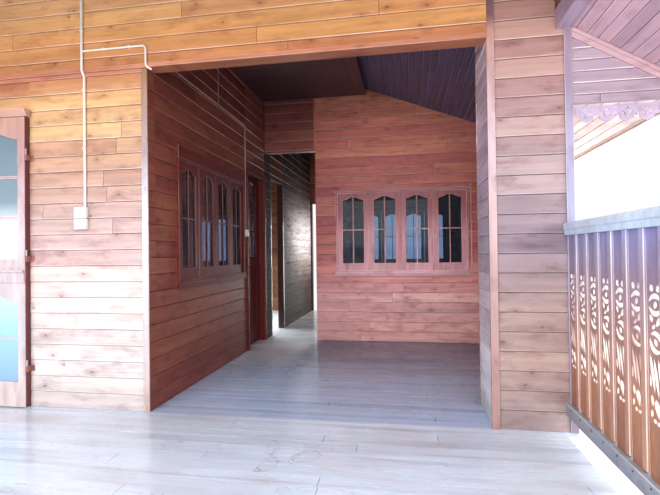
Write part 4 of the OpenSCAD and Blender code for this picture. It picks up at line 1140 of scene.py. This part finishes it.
def ease_the_joinery():
    eased("outer_window_frames", WINDOW_WOOD["X"], 0.002)
    eased("outer_casements", WINDOW_WOOD["Z"], 0.002)
    hang_the_double_door()
    eased("side_door_frame", SIDE_FRAMES["Z"], 0.0015)
    eased("side_door", SIDE_FRAMES["Z"], 0.0015, body="side_leaf")


ease_the_frame()
ease_the_joinery()


# Glazing bars of the casements and doors
BAR = 0.013
BAR_DEPTH = 0.024
BAR_BITE = 0.004
BAR_EASE = 0.003
STILE = 0.06
RAIL = 0.092
HEAD = 0.042


def bars_of_casements(node, material, name, pick=None):
    """One upright and one level bar in every casement, across the glass."""
    bars = []
    for solid in solids(node):
        if pick and not pick(solid):
            continue
        low, high = corners_of(solid)
        middle = (low + high) / 2
        thin = 0 if high.x - low.x < high.y - low.y else 1
        wide = 1 - thin
        upright_low, upright_high = low.copy(), high.copy()
        level_low, level_high = low.copy(), high.copy()
        for corner, way in ((upright_low, -1), (upright_high, 1)):
            corner[thin] = middle[thin] + way * BAR_DEPTH / 2
            corner[wide] = middle[wide] + way * BAR / 2
        upright_low.z += RAIL - BAR_BITE
        upright_high.z -= HEAD - BAR_BITE
        for corner, way in ((level_low, -1), (level_high, 1)):
            corner[thin] = middle[thin] + way * BAR_DEPTH / 2
            corner[wide] -= way * (STILE - BAR_BITE)
            corner.z = low.z + (RAIL + high.z - low.z - HEAD) / 2 + way * BAR / 2
        bars.append(timber(upright_low, upright_high, BAR_EASE))
        bars.append(timber(level_low, level_high, BAR_EASE))
    return dressed(joined(bars, name), name, material)


def bars_of_leaf(glass, heights, material, name, body):
    """Level bars across one door's glass at heights above the floor."""
    low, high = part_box(glass)
    thin = 0 if high[0] - low[0] < high[1] - low[1] else 1
    bars = []
    for height in heights:
        a, b = Vector(low), Vector(high)
        for corner, way in ((a, -1), (b, 1)):
            corner[thin] = (low[thin] + high[thin]) / 2 + way * BAR_DEPTH / 2
            corner[1 - thin] += way * 0.003
            corner.z = FLOOR + height + way * BAR * 0.8
        bars.append(timber(a, b, BAR_EASE))
    return dressed(joined(bars, name), name, material, body)


def on_side_wall(solid):
    return reach(solid, X)[1] < SIDE_WALL + 0.05


def on_back_wall(solid):
    return not on_side_wall(solid)


def glaze_the_porch():
    for pick, woods, bank in ((on_side_wall, SIDE_FRAMES, "side"), (on_back_wall, BANK_WOOD, "back")):
        bars_of_casements("porch_casements", woods["Z"], bank + "_bank_bars", pick)
        eased("porch_casements", woods["Z"], 0.003, pick=pick, name=bank + "_bank_casements")
        eased("porch_window_frames", woods["X"], 0.003, pick=pick, name=bank + "_bank_frame")


def glaze_the_doors():
    for side in ("right", "left"):
        bars_of_leaf("front_glass_" + side, (0.497, 1.385, 1.68), DOOR_WOOD["X"], "front_door_bars_" + side,
                     "front_leaf_" + side)
    low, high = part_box("side_door_glass")
    thirds = [low[2] - FLOOR + (high[2] - low[2]) * share for share in (0.34, 0.67)]
    bars_of_leaf("side_door_glass", thirds, SIDE_FRAMES["Y"], "side_door_bars", "side_leaf")


def trim_the_banks():
    """The heading board over the side bank, and the strips over and beside the back bank."""
    frames = solids("porch_window_frames")
    low, high = corners_of(*filter(on_side_wall, frames))
    heading = timber((SIDE_WALL, low.y + 0.014, high.z + 0.0005),
                     (SIDE_WALL + 0.013, high.y - 0.014, high.z + 0.098), 0.002)
    dressed(heading, "side_bank_heading_board", SIDE_FRAMES["Y"])
    low, high = corners_of(*filter(on_back_wall, frames))
    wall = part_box("porch_back_wall")[0][1]
    side = high.x + 0.012
    strips = [timber((low.x - 0.006, wall - 0.022, high.z - 0.004), (side, wall, high.z + 0.014), 0.003),
              timber((side, wall - 0.016, low.z + 0.02), (high.x + 0.024, wall, high.z + 0.13), 0.003)]
    dressed(joined(strips, "strips"), "back_bank_architrave", BANK_WOOD["X"])


def glaze():
    glaze_the_porch()
    bars_of_casements("outer_casements", WINDOW_WOOD["Z"], "outer_bank_bars")
    glaze_the_doors()
    trim_the_banks()


glaze()


# Pierced balustrades
HAND_TOP = 1.259
FOOT_TOP = 0.179
RAIL_D = 0.075
RAIL_W = 0.06
BOARD_PITCH = 0.147
BOARD_W = 0.116
SEAT = 0.01
BATTEN_W = 0.038
BATTEN_T = 0.013
PANEL_T = 0.009
NAIL_BACK = 0.001


def crescent(u, v, radius, width, start, end, steps=8):
    """A moon-shaped hole about (u, v), from one angle to another in degrees."""
    outer = []
    inner = []
    for i in range(steps + 1):
        share = i / steps
        angle = math.radians(start + (end - start) * share)
        ray = (math.cos(angle), math.sin(angle))
        outer.append((u + radius * ray[0], v + radius * ray[1]))
        if 0 < i < steps:
            depth = radius - width * math.sin(math.pi * share) ** 0.6
            inner.append((u + depth * ray[0], v + depth * ray[1]))
    return outer + inner[::-1]


def leaf(u, v, length, width, turn, fat=1.0, steps=6):
    """A leaf-shaped hole centred on (u, v), its long way turned from upright. fat over 1 makes a drop."""
    points = []
    turned = math.radians(turn)
    for i in range(2 * steps):
        share = i / steps
        side = 1 if share < 1 else -1
        along = share if share < 1 else 2 - share
        a = length * (along - 0.5)
        b = side * width / 2 * math.sin(math.pi * along ** fat) ** 0.8 if 0 < along < 1 else 0.0
        points.append((u + b * math.cos(turned) - a * math.sin(turned),
                       v + b * math.sin(turned) + a * math.cos(turned)))
    return points


def baluster_board():
    """One pierced board: two scrolls over a pair of slots and a drop, between plain ends."""
    height = HAND_TOP - RAIL_D - FOOT_TOP + 2 * SEAT
    half = BOARD_W / 2
    middle = height / 2
    outline = [(-half, 0), (half, 0), (half, height), (-half, height)]
    upper_scroll = [
        leaf(0.026, middle + 0.260, 0.036, 0.030, -60), leaf(-0.024, middle + 0.260, 0.034, 0.026, 30),
        crescent(0.0, middle + 0.196, 0.046, 0.022, 12, 168),
        crescent(0.0, middle + 0.196, 0.046, 0.022, 192, 345),
        leaf(0.002, middle + 0.196, 0.034, 0.022, -25)]
    between = [
        leaf(0.024, middle + 0.134, 0.056, 0.024, -40), leaf(-0.030, middle + 0.140, 0.034, 0.018, 24),
        leaf(-0.012, middle + 0.108, 0.030, 0.014, -50)]
    lower_scroll = [
        crescent(0.002, middle + 0.048, 0.045, 0.022, -15, 140),
        crescent(0.002, middle + 0.048, 0.045, 0.022, 165, 320),
        leaf(0.002, middle + 0.048, 0.032, 0.020, 30), leaf(0.041, middle - 0.006, 0.026, 0.014, 20)]
    slots = [
        leaf(-0.026, middle - 0.078, 0.150, 0.018, 12), leaf(0.002, middle - 0.092, 0.150, 0.018, 12),
        leaf(0.029, middle - 0.074, 0.120, 0.018, 12), leaf(-0.042, middle - 0.112, 0.05, 0.012, 6)]
    drop = [
        leaf(0.006, middle - 0.212, 0.076, 0.036, 14, 1.6),
        leaf(-0.031, middle - 0.186, 0.044, 0.020, 12), leaf(-0.036, middle - 0.238, 0.034, 0.018, -12),
        leaf(0.040, middle - 0.178, 0.050, 0.014, 4), leaf(0.036, middle - 0.236, 0.036, 0.018, 20),
        leaf(-0.014, middle - 0.264, 0.024, 0.018, 70), leaf(0.014, middle - 0.266, 0.024, 0.018, -70)]
    holes = upper_scroll + between + lower_scroll + slots + drop
    seen_from_deck = [[(-u, v) for u, v in hole] for hole in holes]
    return pierced(outline, seen_from_deck, PANEL_T, name="baluster_board")


def nail_head():
    """A round nail head, its face towards -Y."""
    shape = bmesh.new()
    bmesh.ops.create_cone(shape, cap_ends=True, segments=10, radius1=0.0055, radius2=0.0035, depth=0.003)
    bmesh.ops.rotate(shape, verts=shape.verts, matrix=Matrix.Rotation(math.radians(90), 3, "X"))
    return shown(finished(shape, "nail_head"), "nail_head")


def handrail(length):
    """The top rail along X: a rounded top over a stepped-in neck."""
    half = RAIL_W / 2
    top = HAND_TOP
    right = [(half - 0.006, top - RAIL_D), (half - 0.006, top - 0.046), (half - 0.002, top - 0.042),
             (half, top - 0.038), (half, top - 0.012), (half - 0.004, top - 0.004), (half - 0.014, top)]
    left = [(-x, z) for x, z in right[::-1]]
    mesh = prism(left[-1:] + right + left[:-1], 0.0, length)
    mesh.transform(Matrix(((0, 1, 0, 0), (1, 0, 0, 0), (0, 0, 1, 0), (0, 0, 0, 1))))
    mesh.flip_normals()
    return shown(mesh, "handrail")


def bay(length, board, nail):
    """One bay along X from the origin, between two posts, its foot on the floor line."""
    count = math.floor(length / BOARD_PITCH)
    pitch = length / count
    step = (pitch, 0, 0)
    foot = timber((0, -RAIL_W / 2, FOOT_TOP - RAIL_D), (length, RAIL_W / 2, FOOT_TOP), 0.004)
    piece = joined([handrail(length), foot], "bay")
    piece.data.materials.append(RAIL_WOOD["X"])
    row_of(piece, board, count, (pitch / 2, 0, FOOT_TOP - SEAT), step, PANEL_WOOD["Z"])
    for side in (-1, 1):
        y = side * (PANEL_T / 2 + BATTEN_T / 2)
        batten = timber((-BATTEN_W / 2, y - BATTEN_T / 2, FOOT_TOP + 0.02),
                        (BATTEN_W / 2, y + BATTEN_T / 2, HAND_TOP - RAIL_D + 0.004), 0.0035)
        row_of(piece, batten, count - 1, step, step, STRIP_WOOD["Z"])
        bpy.data.objects.remove(batten)
        first_nail = (pitch / 2, side * (RAIL_W / 2 + NAIL_BACK), FOOT_TOP - 0.02)
        row_of(piece, nail, count, first_nail, step, STEEL)
    return piece


def bay_in_place(solid, board, nail):
    """The bay that stands in a solid's place, along its longer way."""
    low, high = corners_of(solid)
    middle = (low + high) / 2
    if high.x - low.x > high.y - low.y:
        place = Matrix.Translation((low.x, middle.y, FLOOR))
        length = high.x - low.x
    else:
        place = Matrix.Translation((middle.x, low.y, FLOOR)) @ Matrix.Rotation(math.pi / 2, 4, "Z")
        length = high.y - low.y
    piece = bay(length, board, nail)
    piece.data.transform(place)
    return piece


def build_balustrades():
    board = baluster_board()
    nail = nail_head()
    for node in ("balustrade_right", "balustrade_left", "balustrade_front"):
        name = node + "_pierced"
        bays = [bay_in_place(solid, board, nail) for solid in solids(node)]
        dressed(joined(bays, name), name, None, replaced=[node])
    bpy.data.objects.remove(board)
    bpy.data.objects.remove(nail)


build_balustrades()


# Eaves panels and their fretwork
FRET_PITCH = 0.11
FRET_DROP = 0.103
FRET_END = 0.0275
FRET_T = 0.014
FRET_EASE = 0.0006
RAKE_DROP = 0.058


def fret_motif():
    """One crown-edged pendant with a dot over two curved arms, and half a tooth at each side."""
    half_edge = [(0.055, -0.068), (0.0485, -0.060), (0.0427, -0.0545), (0.0385, -0.066), (0.0373, -0.0757),
                 (0.035, -0.0864), (0.0307, -0.0879), (0.0283, -0.0824), (0.024, -0.0909), (0.0207, -0.0939),
                 (0.0173, -0.0885), (0.0127, -0.0954), (0.0093, -0.0976), (0.0067, -0.0933), (0.0027, -0.1),
                 (0.0, -FRET_DROP)]
    mirror = [(-u, v) for u, v in half_edge[-2::-1]]
    outline = [(0.055, 0.0)] + half_edge + mirror + [(-0.055, 0.0)]
    arm = [(-0.0313, -0.0394), (-0.025, -0.037), (-0.0173, -0.0424), (-0.0117, -0.05), (-0.0093, -0.0576),
           (-0.008, -0.069), (-0.012, -0.0715), (-0.0167, -0.062), (-0.0207, -0.053), (-0.0283, -0.047)]
    other_arm = [(-u, v) for u, v in arm[::-1]]
    turns = [i * math.pi / 5 for i in range(10)]
    dot = [(0.010 * math.cos(turn), -0.0248 + 0.0085 * math.sin(turn)) for turn in turns]
    return pierced(outline, [dot, arm, other_arm], FRET_T, FRET_EASE, "fret_motif")


def fret_end(side):
    """The plain end of the fretwork beside the pier, cut to the first half tooth."""
    outline = [(0.0, 0.0), (FRET_END, 0.0), (FRET_END, -0.068), (0.0205, -0.0545), (0.012, -0.0515),
               (0.006, -0.062), (0.0, -0.0545)]
    return pierced([(side * u, v) for u, v in outline], [], FRET_T, FRET_EASE, "fret_end")


def build_wing_panels():
    """The boarded panels beside the pier, and the stepped trim along their sloping tops."""
    panels = []
    steps = []
    for solid in solids("wing_panels"):
        back = reach(solid, Y)[1]
        rim = [(v.co.x, v.co.z) for v in solid.vertices if back - v.co.y < 1e-4]
        inner, outer = sorted({round(x, 4) for x, z in rim}, key=abs)
        bottom = min(z for x, z in rim)
        inner_top, outer_top = (max(z for x, z in rim if abs(x - end) < 1e-3) for end in (inner, outer))
        tops = [(outer, outer_top), (inner, inner_top)]
        panels.append(prism([(inner, bottom), (outer, bottom), *tops], FRONT, back))
        for drop, near, far in ((RAKE_DROP, 0.012, 0.0), (RAKE_DROP * 0.45, 0.022, 0.012)):
            strip = [(inner, inner_top - drop), (outer, outer_top - drop), *tops]
            steps.append(shown(prism(strip, FRONT - near, FRONT - far), "step"))
    boarded("wing_panels", WING_BOARDS, {"X": [-Y, Y]}, "narrow", 1.1, shapes=panels)
    trim = joined(steps, "rake_trim")
    bevel = trim.modifiers.new("ease", "BEVEL")
    bevel.width = 0.003
    bevel.segments = 2
    dressed(settled(trim), "rake_trim", RAKE_WOOD["X"])


def hang_the_fretwork():
    """The pendants in a row under each wing panel, from the pier out, with a plain end by the pier."""
    motif = fret_motif()
    low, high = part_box("wing_fretwork")
    count = math.floor((high[0] - PIER_RIGHT - FRET_END) / FRET_PITCH)
    piece = empty_piece("fretwork")
    y = (low[1] + high[1]) / 2
    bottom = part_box("wing_panels")[0][2]
    for side in (-1, 1):
        first = (side * (PIER_RIGHT + FRET_END + FRET_PITCH / 2), y, bottom)
        row_of(piece, motif, count, first, (side * FRET_PITCH, 0, 0), FRET_WOOD["X"])
        end = fret_end(side)
        row_of(piece, end, 1, (side * PIER_RIGHT, y, bottom), (0, 0, 0), FRET_WOOD["X"])
        bpy.data.objects.remove(end)
    bpy.data.objects.remove(motif)
    dressed(piece, "wing_fretwork_pierced", None, replaced=["wing_fretwork"])


def build_wings():
    build_wing_panels()
    hang_the_fretwork()


build_wings()


# Roof covering
WAVE = 0.13
WAVE_DEPTH = 0.015
SHEET = 0.005
SHEET_RISE = 0.007
SHEET_LAP = 0.06
COURSES = 4
STEPS_A_WAVE = 8
UNDER_RIDGE = 0.012
SHEET_BED = 0.001
SCREW_ROWS = 8
SCREWS_FROM = 0.34
SCREWS_SHORT = 0.42
FIRST_SCREW_WAVE = 2.5
WAVES_A_SCREW = 4
ROOF_PITCH = 31


def course_lines(side, course, eave, ridge_z, fall, near, far):
    """The upper and the lower end of one course of sheets, as waving lines of points."""
    columns = round((far - near) / WAVE) * STEPS_A_WAVE
    lines = []
    for end in (0, 1):
        lap = SHEET_LAP if course and not end else 0
        x = eave * (course + end) / COURSES - lap
        base = ridge_z - fall * x + SHEET_BED + SHEET_RISE * end
        line = []
        for i in range(columns + 1):
            swell = WAVE_DEPTH / 2 * (1 - math.cos(2 * math.pi * i / STEPS_A_WAVE))
            line.append((side * x, near + (far - near) * i / columns, base + swell))
        lines.append(line)
    return lines


def roof_slope(side):
    """Corrugated sheets in lapped courses over one slope, inside the node's own thickness."""
    node = "roof_right" if side > 0 else "roof_left"
    low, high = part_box(node)
    eave = high[0] if side > 0 else -low[0]
    ridge_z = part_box("roof_right")[1][2] - UNDER_RIDGE
    fall = (ridge_z - low[2]) / eave
    shape = bmesh.new()
    for course in range(COURSES):
        lines = course_lines(side, course, eave, ridge_z, fall, low[1], high[1])
        under, over = ([[shape.verts.new((x, y, z + lift)) for x, y, z in line] for line in lines]
                       for lift in (0.0, SHEET))
        last = len(lines[0]) - 1
        for i in range(last):
            for layer in (under, over):
                shape.faces.new((layer[0][i], layer[0][i + 1], layer[1][i + 1], layer[1][i]))
            for end in (0, 1):
                shape.faces.new((under[end][i], under[end][i + 1], over[end][i + 1], over[end][i]))
        for i in (0, last):
            shape.faces.new((under[0][i], under[1][i], over[1][i], over[0][i]))
    bmesh.ops.recalc_face_normals(shape, faces=shape.faces)
    mesh = finished(shape, node)
    for face in mesh.polygons:
        face.use_smooth = abs(face.normal.z) > 0.3
    return dressed(shown(mesh, node), node + "_sheets", ROOF_SHEETS, replaced=[node])


def roof_screw(side):
    """A screw with its dome washer, square to the slope."""
    shape = bmesh.new()
    bmesh.ops.create_cone(shape, cap_ends=True, segments=10, radius1=0.013, radius2=0.008, depth=0.005)
    cap = bmesh.ops.create_cone(shape, cap_ends=True, segments=6, radius1=0.006, radius2=0.005, depth=0.007)
    bmesh.ops.translate(shape, verts=cap["verts"], vec=(0, 0, 0.005))
    tilt = Matrix.Rotation(side * math.radians(ROOF_PITCH), 3, "Y")
    bmesh.ops.rotate(shape, verts=shape.verts, matrix=tilt)
    return shown(finished(shape, "roof_screw"), "roof_screw")


def screw_down(side):
    """Rows of screws down one slope, on every fourth wave's crest, short of the ridge and the eave."""
    low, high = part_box("roof_right")
    ridge_z = high[2] - UNDER_RIDGE
    fall = (ridge_z - low[2]) / high[0]
    length = high[1] - low[1]
    waves = round(length / WAVE)
    step = (0, WAVES_A_SCREW * length / waves, 0)
    screw = roof_screw(side)
    screws = empty_piece("roof_screws")
    for row in range(SCREW_ROWS):
        x = SCREWS_FROM + row * (high[0] - SCREWS_SHORT) / (SCREW_ROWS - 1)
        course = min(COURSES - 1, int(x / high[0] * COURSES))
        share = x / high[0] * COURSES - course
        z = ridge_z - fall * x + SHEET_BED + SHEET_RISE * share + WAVE_DEPTH + SHEET + 0.001
        first = (side * x, low[1] + length / waves * FIRST_SCREW_WAVE, z)
        row_of(screws, screw, waves // WAVES_A_SCREW, first, step, STEEL)
    bpy.data.objects.remove(screw)
    dressed(screws, "roof_screws_" + ("right" if side > 0 else "left"), STEEL)


def cover_the_roof():
    for side in (-1, 1):
        roof_slope(side)
        screw_down(side)
    eased("ridge_cap", ROOF_SHEETS, 0.003)


cover_the_roof()


# Conduit and boxes
PIPE_R = 0.009
ARM_R = 0.8 * PIPE_R
INDOOR_R = 0.005
FEEDER_R = 0.0035
BEND_R = 0.03
TIGHT_BEND_R = 0.012
PIPE_SHIFT = 0.028
PORCH_RUN_FROM = -0.875
FEEDER_Y = 0.25


def rounded_path(corners, radius, steps=6):
    """The corners of a pipe run with each turn drawn as an arc."""
    corners = [Vector(corner) for corner in corners]
    path = [corners[0]]
    for before, corner, after in zip(corners, corners[1:], corners[2:]):
        into, away = (corner - before), (after - corner)
        reach_in = min(radius, into.length * 0.49, away.length * 0.49)
        start = corner - into.normalized() * reach_in
        end = corner + away.normalized() * reach_in
        for i in range(steps + 1):
            share = i / steps
            path.append(start.lerp(corner, share).lerp(corner.lerp(end, share), share))
    return path + [corners[-1]]


def tube(corners, bend, radius, name):
    """A pipe through its corners, each turn drawn as a bend."""
    curve = bpy.data.curves.new(name, "CURVE")
    curve.dimensions = "3D"
    curve.bevel_depth = radius
    curve.bevel_resolution = 3
    curve.use_fill_caps = True
    path = rounded_path(corners, bend)
    line = curve.splines.new("POLY")
    line.points.add(len(path) - 1)
    for point, place in zip(line.points, path):
        point.co = (*place, 1)
    return meshed(curve, name)


def pipe_clip(x, y, z, half_long, out, half_tall):
    """A saddle over a pipe whose middle is at (x, y, z), from in front of it back to the wall."""
    return timber((x - half_long, y - out, z - half_tall),
                  (x + half_long, y + PIPE_R, z + half_tall), 0.003)


def run_along_the_front(box, branch):
    """The pipe from the front wall's box up over the band, and its arm across to the porch."""
    low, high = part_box("wall_conduit")
    x = sum(reach(box, X)) / 2 + PIPE_SHIFT
    wall = FRONT - PIPE_R
    band = low[1] + PIPE_R
    drop = SIDE_WALL + 0.006
    run = [(x, wall, reach(box, Z)[1] - 0.002), (x, wall, BAND - 0.022), (x, band, BAND + 0.012),
           (x, band, high[2])]
    arm = [(x, band, branch), (drop, band, branch), (drop, band, BAND + 0.004),
           (drop + 0.034, band + 0.02, BAND - 0.014)]
    pipes = [tube(run, TIGHT_BEND_R, PIPE_R, "run"), tube(arm, BEND_R, ARM_R, "arm")]
    clips = [(x, wall, BAND - 0.12 - 0.42 * i) for i in range(2)]
    clips += [(x, band, BAND + 0.3), (x, band, BAND + 0.6)]
    for place in clips:
        pipes.append(pipe_clip(*place, 0.011, 0.0105, 0.008))
    for along in (x + 0.17, x + 0.37):
        pipes.append(pipe_clip(along, band, branch, 0.008, 0.009, 0.010))
    return pipes


def run_inside_the_porch(box, level):
    """The thin pipe along the porch side wall, down to its box, and the feeder up to the ceiling."""
    x = SIDE_WALL + 0.006
    y = sum(reach(box, Y)) / 2
    feeder_x = SIDE_WALL + 0.004
    inside = [(x, PORCH_RUN_FROM, level), (x, y, level), (x, y, reach(box, Z)[1] - 0.002)]
    feeder = [(feeder_x, FEEDER_Y, level), (feeder_x, FEEDER_Y, CEILING + 0.002)]
    pipes = [tube(inside, BEND_R, INDOOR_R, "inside"), tube(feeder, 0.01, FEEDER_R, "feeder")]
    for share in (0.2, 0.5, 0.8):
        along = PORCH_RUN_FROM + (y - PORCH_RUN_FROM) * share
        pipes.append(timber((SIDE_WALL, along - 0.007, level - 0.01),
                            (x + 0.007, along + 0.007, level + 0.01), 0.002))
    return pipes


def front_box(solid):
    """The front wall's double box, facing -Y: two back plates, each with a cover and a socket."""
    low, high = corners_of(solid)
    tall = (high.z - low.z) / 2
    middle = (low.x + high.x) / 2
    parts = []
    for i in range(2):
        cell_low = Vector((low.x, low.y, low.z + i * tall + 0.002))
        cell_high = Vector((high.x, high.y, low.z + (i + 1) * tall - 0.002))
        parts.append(timber(cell_low + Vector((0.0, 0.004, 0.0)), cell_high, 0.005))
        parts.append(timber(cell_low + Vector((0.005, 0.0, 0.005)),
                            cell_high - Vector((0.005, 0.004, 0.005)), 0.003))
        parts.append(timber((middle - 0.012, low.y - 0.001, cell_low.z + tall * 0.3),
                            (middle + 0.012, low.y + 0.006, cell_low.z + tall * 0.7), 0.002))
    return parts


def porch_box(solid):
    """The porch's single box, facing X: a back plate, a cover and a rocker."""
    low, high = corners_of(solid)
    tall = high.z - low.z
    middle = (low.y + high.y) / 2
    cell_low = Vector((low.x, low.y, low.z + 0.002))
    cell_high = Vector((high.x, high.y, low.z + tall - 0.002))
    return [
        timber(cell_low, cell_high - Vector((0.004, 0.0, 0.0)), 0.005),
        timber(cell_low + Vector((0.004, 0.005, 0.005)), cell_high - Vector((0.0, 0.005, 0.005)), 0.003),
        timber((high.x - 0.006, middle - 0.008, low.z + tall * 0.35),
               (high.x + 0.001, middle + 0.008, low.z + tall * 0.65), 0.002)]


def run_the_conduit():
    boxes = sorted(solids("socket_boxes"), key=lambda solid: reach(solid, X)[0])
    outer, inner = boxes[0], boxes[-1]
    branch = BAND + 0.15
    pipes = run_along_the_front(outer, branch)
    indoors = run_inside_the_porch(inner, branch - 0.02)
    dressed(joined(indoors, "indoors"), "porch_conduit_run", SHADED_PLASTIC,
            replaced=["wall_conduit"])
    dressed(joined(pipes, "conduit"), "wall_conduit_run", WHITE_PLASTIC,
            replaced=["wall_conduit"])
    dressed(joined(front_box(outer) + porch_box(inner), "sockets"), "socket_boxes_moulded", WHITE_PLASTIC,
            replaced=["socket_boxes"])


run_the_conduit()


def paint(node, material):
    for slot in frame["nodes"][node].material_slots:
        slot.material = material


for node in ("porch_window_glass", "outer_window_glass", "side_door_glass"):
    paint(node, DARK_GLASS)
for node in ("front_glass_right", "front_glass_left"):
    paint(node, PALE_GLASS)


# Light and ground
SKY_LIGHT = 1.3
WHITE = (1, 1, 1)

# Each lamp's name, place, aim, size, power, colour and spread in degrees
LAMPS = (
    ("front_daylight", (-0.4, -11.0, 4.0), (0.3, 0.0, 3.2), (12.0, 6.0), 1640.0, WHITE, 180),
    ("right_daylight", (11.0, -3.0, 6.0), (0.0, -1.0, 3.2), (8.0, 5.0), 900.0, WHITE, 180),
    ("deck_fill", (0.95, -3.3, 4.4), (0.95, -2.5, 2.2), (3.8, 1.6), 82.0, (0.86, 0.95, 1), 180),
    ("balustrade_fill", (1.7, -3.0, 3.2), (3.0, -2.6, 3.1), (1.6, 1.0), 13.0, (0.8, 0.92, 1), 180),
    ("porch_fill", (1.7, -0.85, 4.25), (1.75, 1.7, 3.5), (1.5, 0.3), 5.6, (1, 0.96, 0.96), 74),
    ("room_fill", (-0.3, 3.0, 4.8), (-0.2, 3.0, 2.2), (0.9, 0.9), 30.0, (0.9, 0.98, 1), 80),
    ("eave_bounce", (4.2, 2.4, 3.2), (3.4, 2.4, 4.4), (4.4, 0.8), 50.0, (0.96, 0.98, 1), 180),
    ("passage_fill", (0.84, 3.75, 3.45), (0.2, 3.7, 3.25), (1.5, 1.0), 9.0, (1, 0.98, 0.97), 120),
    ("passage_glow", (0.84, 4.48, 3.1), (0.84, 0.0, 3.0), (0.14, 1.6), 16.0, (0.9, 0.97, 1), 120))

# The lamp that stands for daylight at the passage's end, and shows only as a gleam
GLEAM = "passage_glow"


def light_the_sky():
    """An even sky: white where it is seen, stronger where it only lights."""
    world = bpy.data.worlds.new("daylight")
    bpy.context.scene.world = world
    world.use_nodes = True
    sky = world.node_tree
    backdrop = sky.nodes["Background"]
    paths = add(sky, "ShaderNodeLightPath").outputs
    seen = calc(sky, "MAXIMUM", paths["Is Camera Ray"], paths["Is Glossy Ray"])
    seen = calc(sky, "MAXIMUM", seen, paths["Is Transmission Ray"])
    sky.links.new(ranged(sky, seen, 0.0, 1.0, SKY_LIGHT, 1.0), backdrop.inputs["Strength"])
    backdrop.inputs["Color"].default_value = (*WHITE, 1)


def hang_lamp(name, place, aim, size, power, tint, spread):
    lamp = bpy.data.lights.new(name, "AREA")
    lamp.shape = "RECTANGLE"
    lamp.size, lamp.size_y = size
    lamp.energy = power
    lamp.color = tint
    lamp.spread = math.radians(spread)
    obj = bpy.data.objects.new(name, lamp)
    obj.location = place
    obj.rotation_euler = (Vector(aim) - Vector(place)).to_track_quat("-Z", "Y").to_euler()
    obj.visible_glossy = name == GLEAM
    obj.visible_diffuse = name != GLEAM
    obj.visible_camera = False
    obj.visible_transmission = False
    bpy.context.scene.collection.objects.link(obj)


def light_the_scene():
    bpy.context.scene.view_settings.view_transform = "Standard"
    light_the_sky()
    for lamp in LAMPS:
        hang_lamp(*lamp)


def lay_the_ground():
    half = 40.0
    corners = [(-half, -half, 0), (half, -half, 0), (half, half, 0), (-half, half, 0)]
    mesh = bpy.data.meshes.new("ground")
    mesh.from_pydata(corners, [], [(0, 1, 2, 3)])
    ground = shown(mesh, "ground")
    material, tree, surface = new_material("pale_ground")
    surface.inputs["Base Color"].default_value = (0.85, 0.85, 0.85, 1)
    surface.inputs["Roughness"].default_value = 0.9
    mesh.materials.append(material)


for blank in (WALL_BLANK, FRONT_BLANK, NARROW_BLANK, FLOOR_BLANK):
    bpy.data.objects.remove(blank)
light_the_scene()
lay_the_ground()
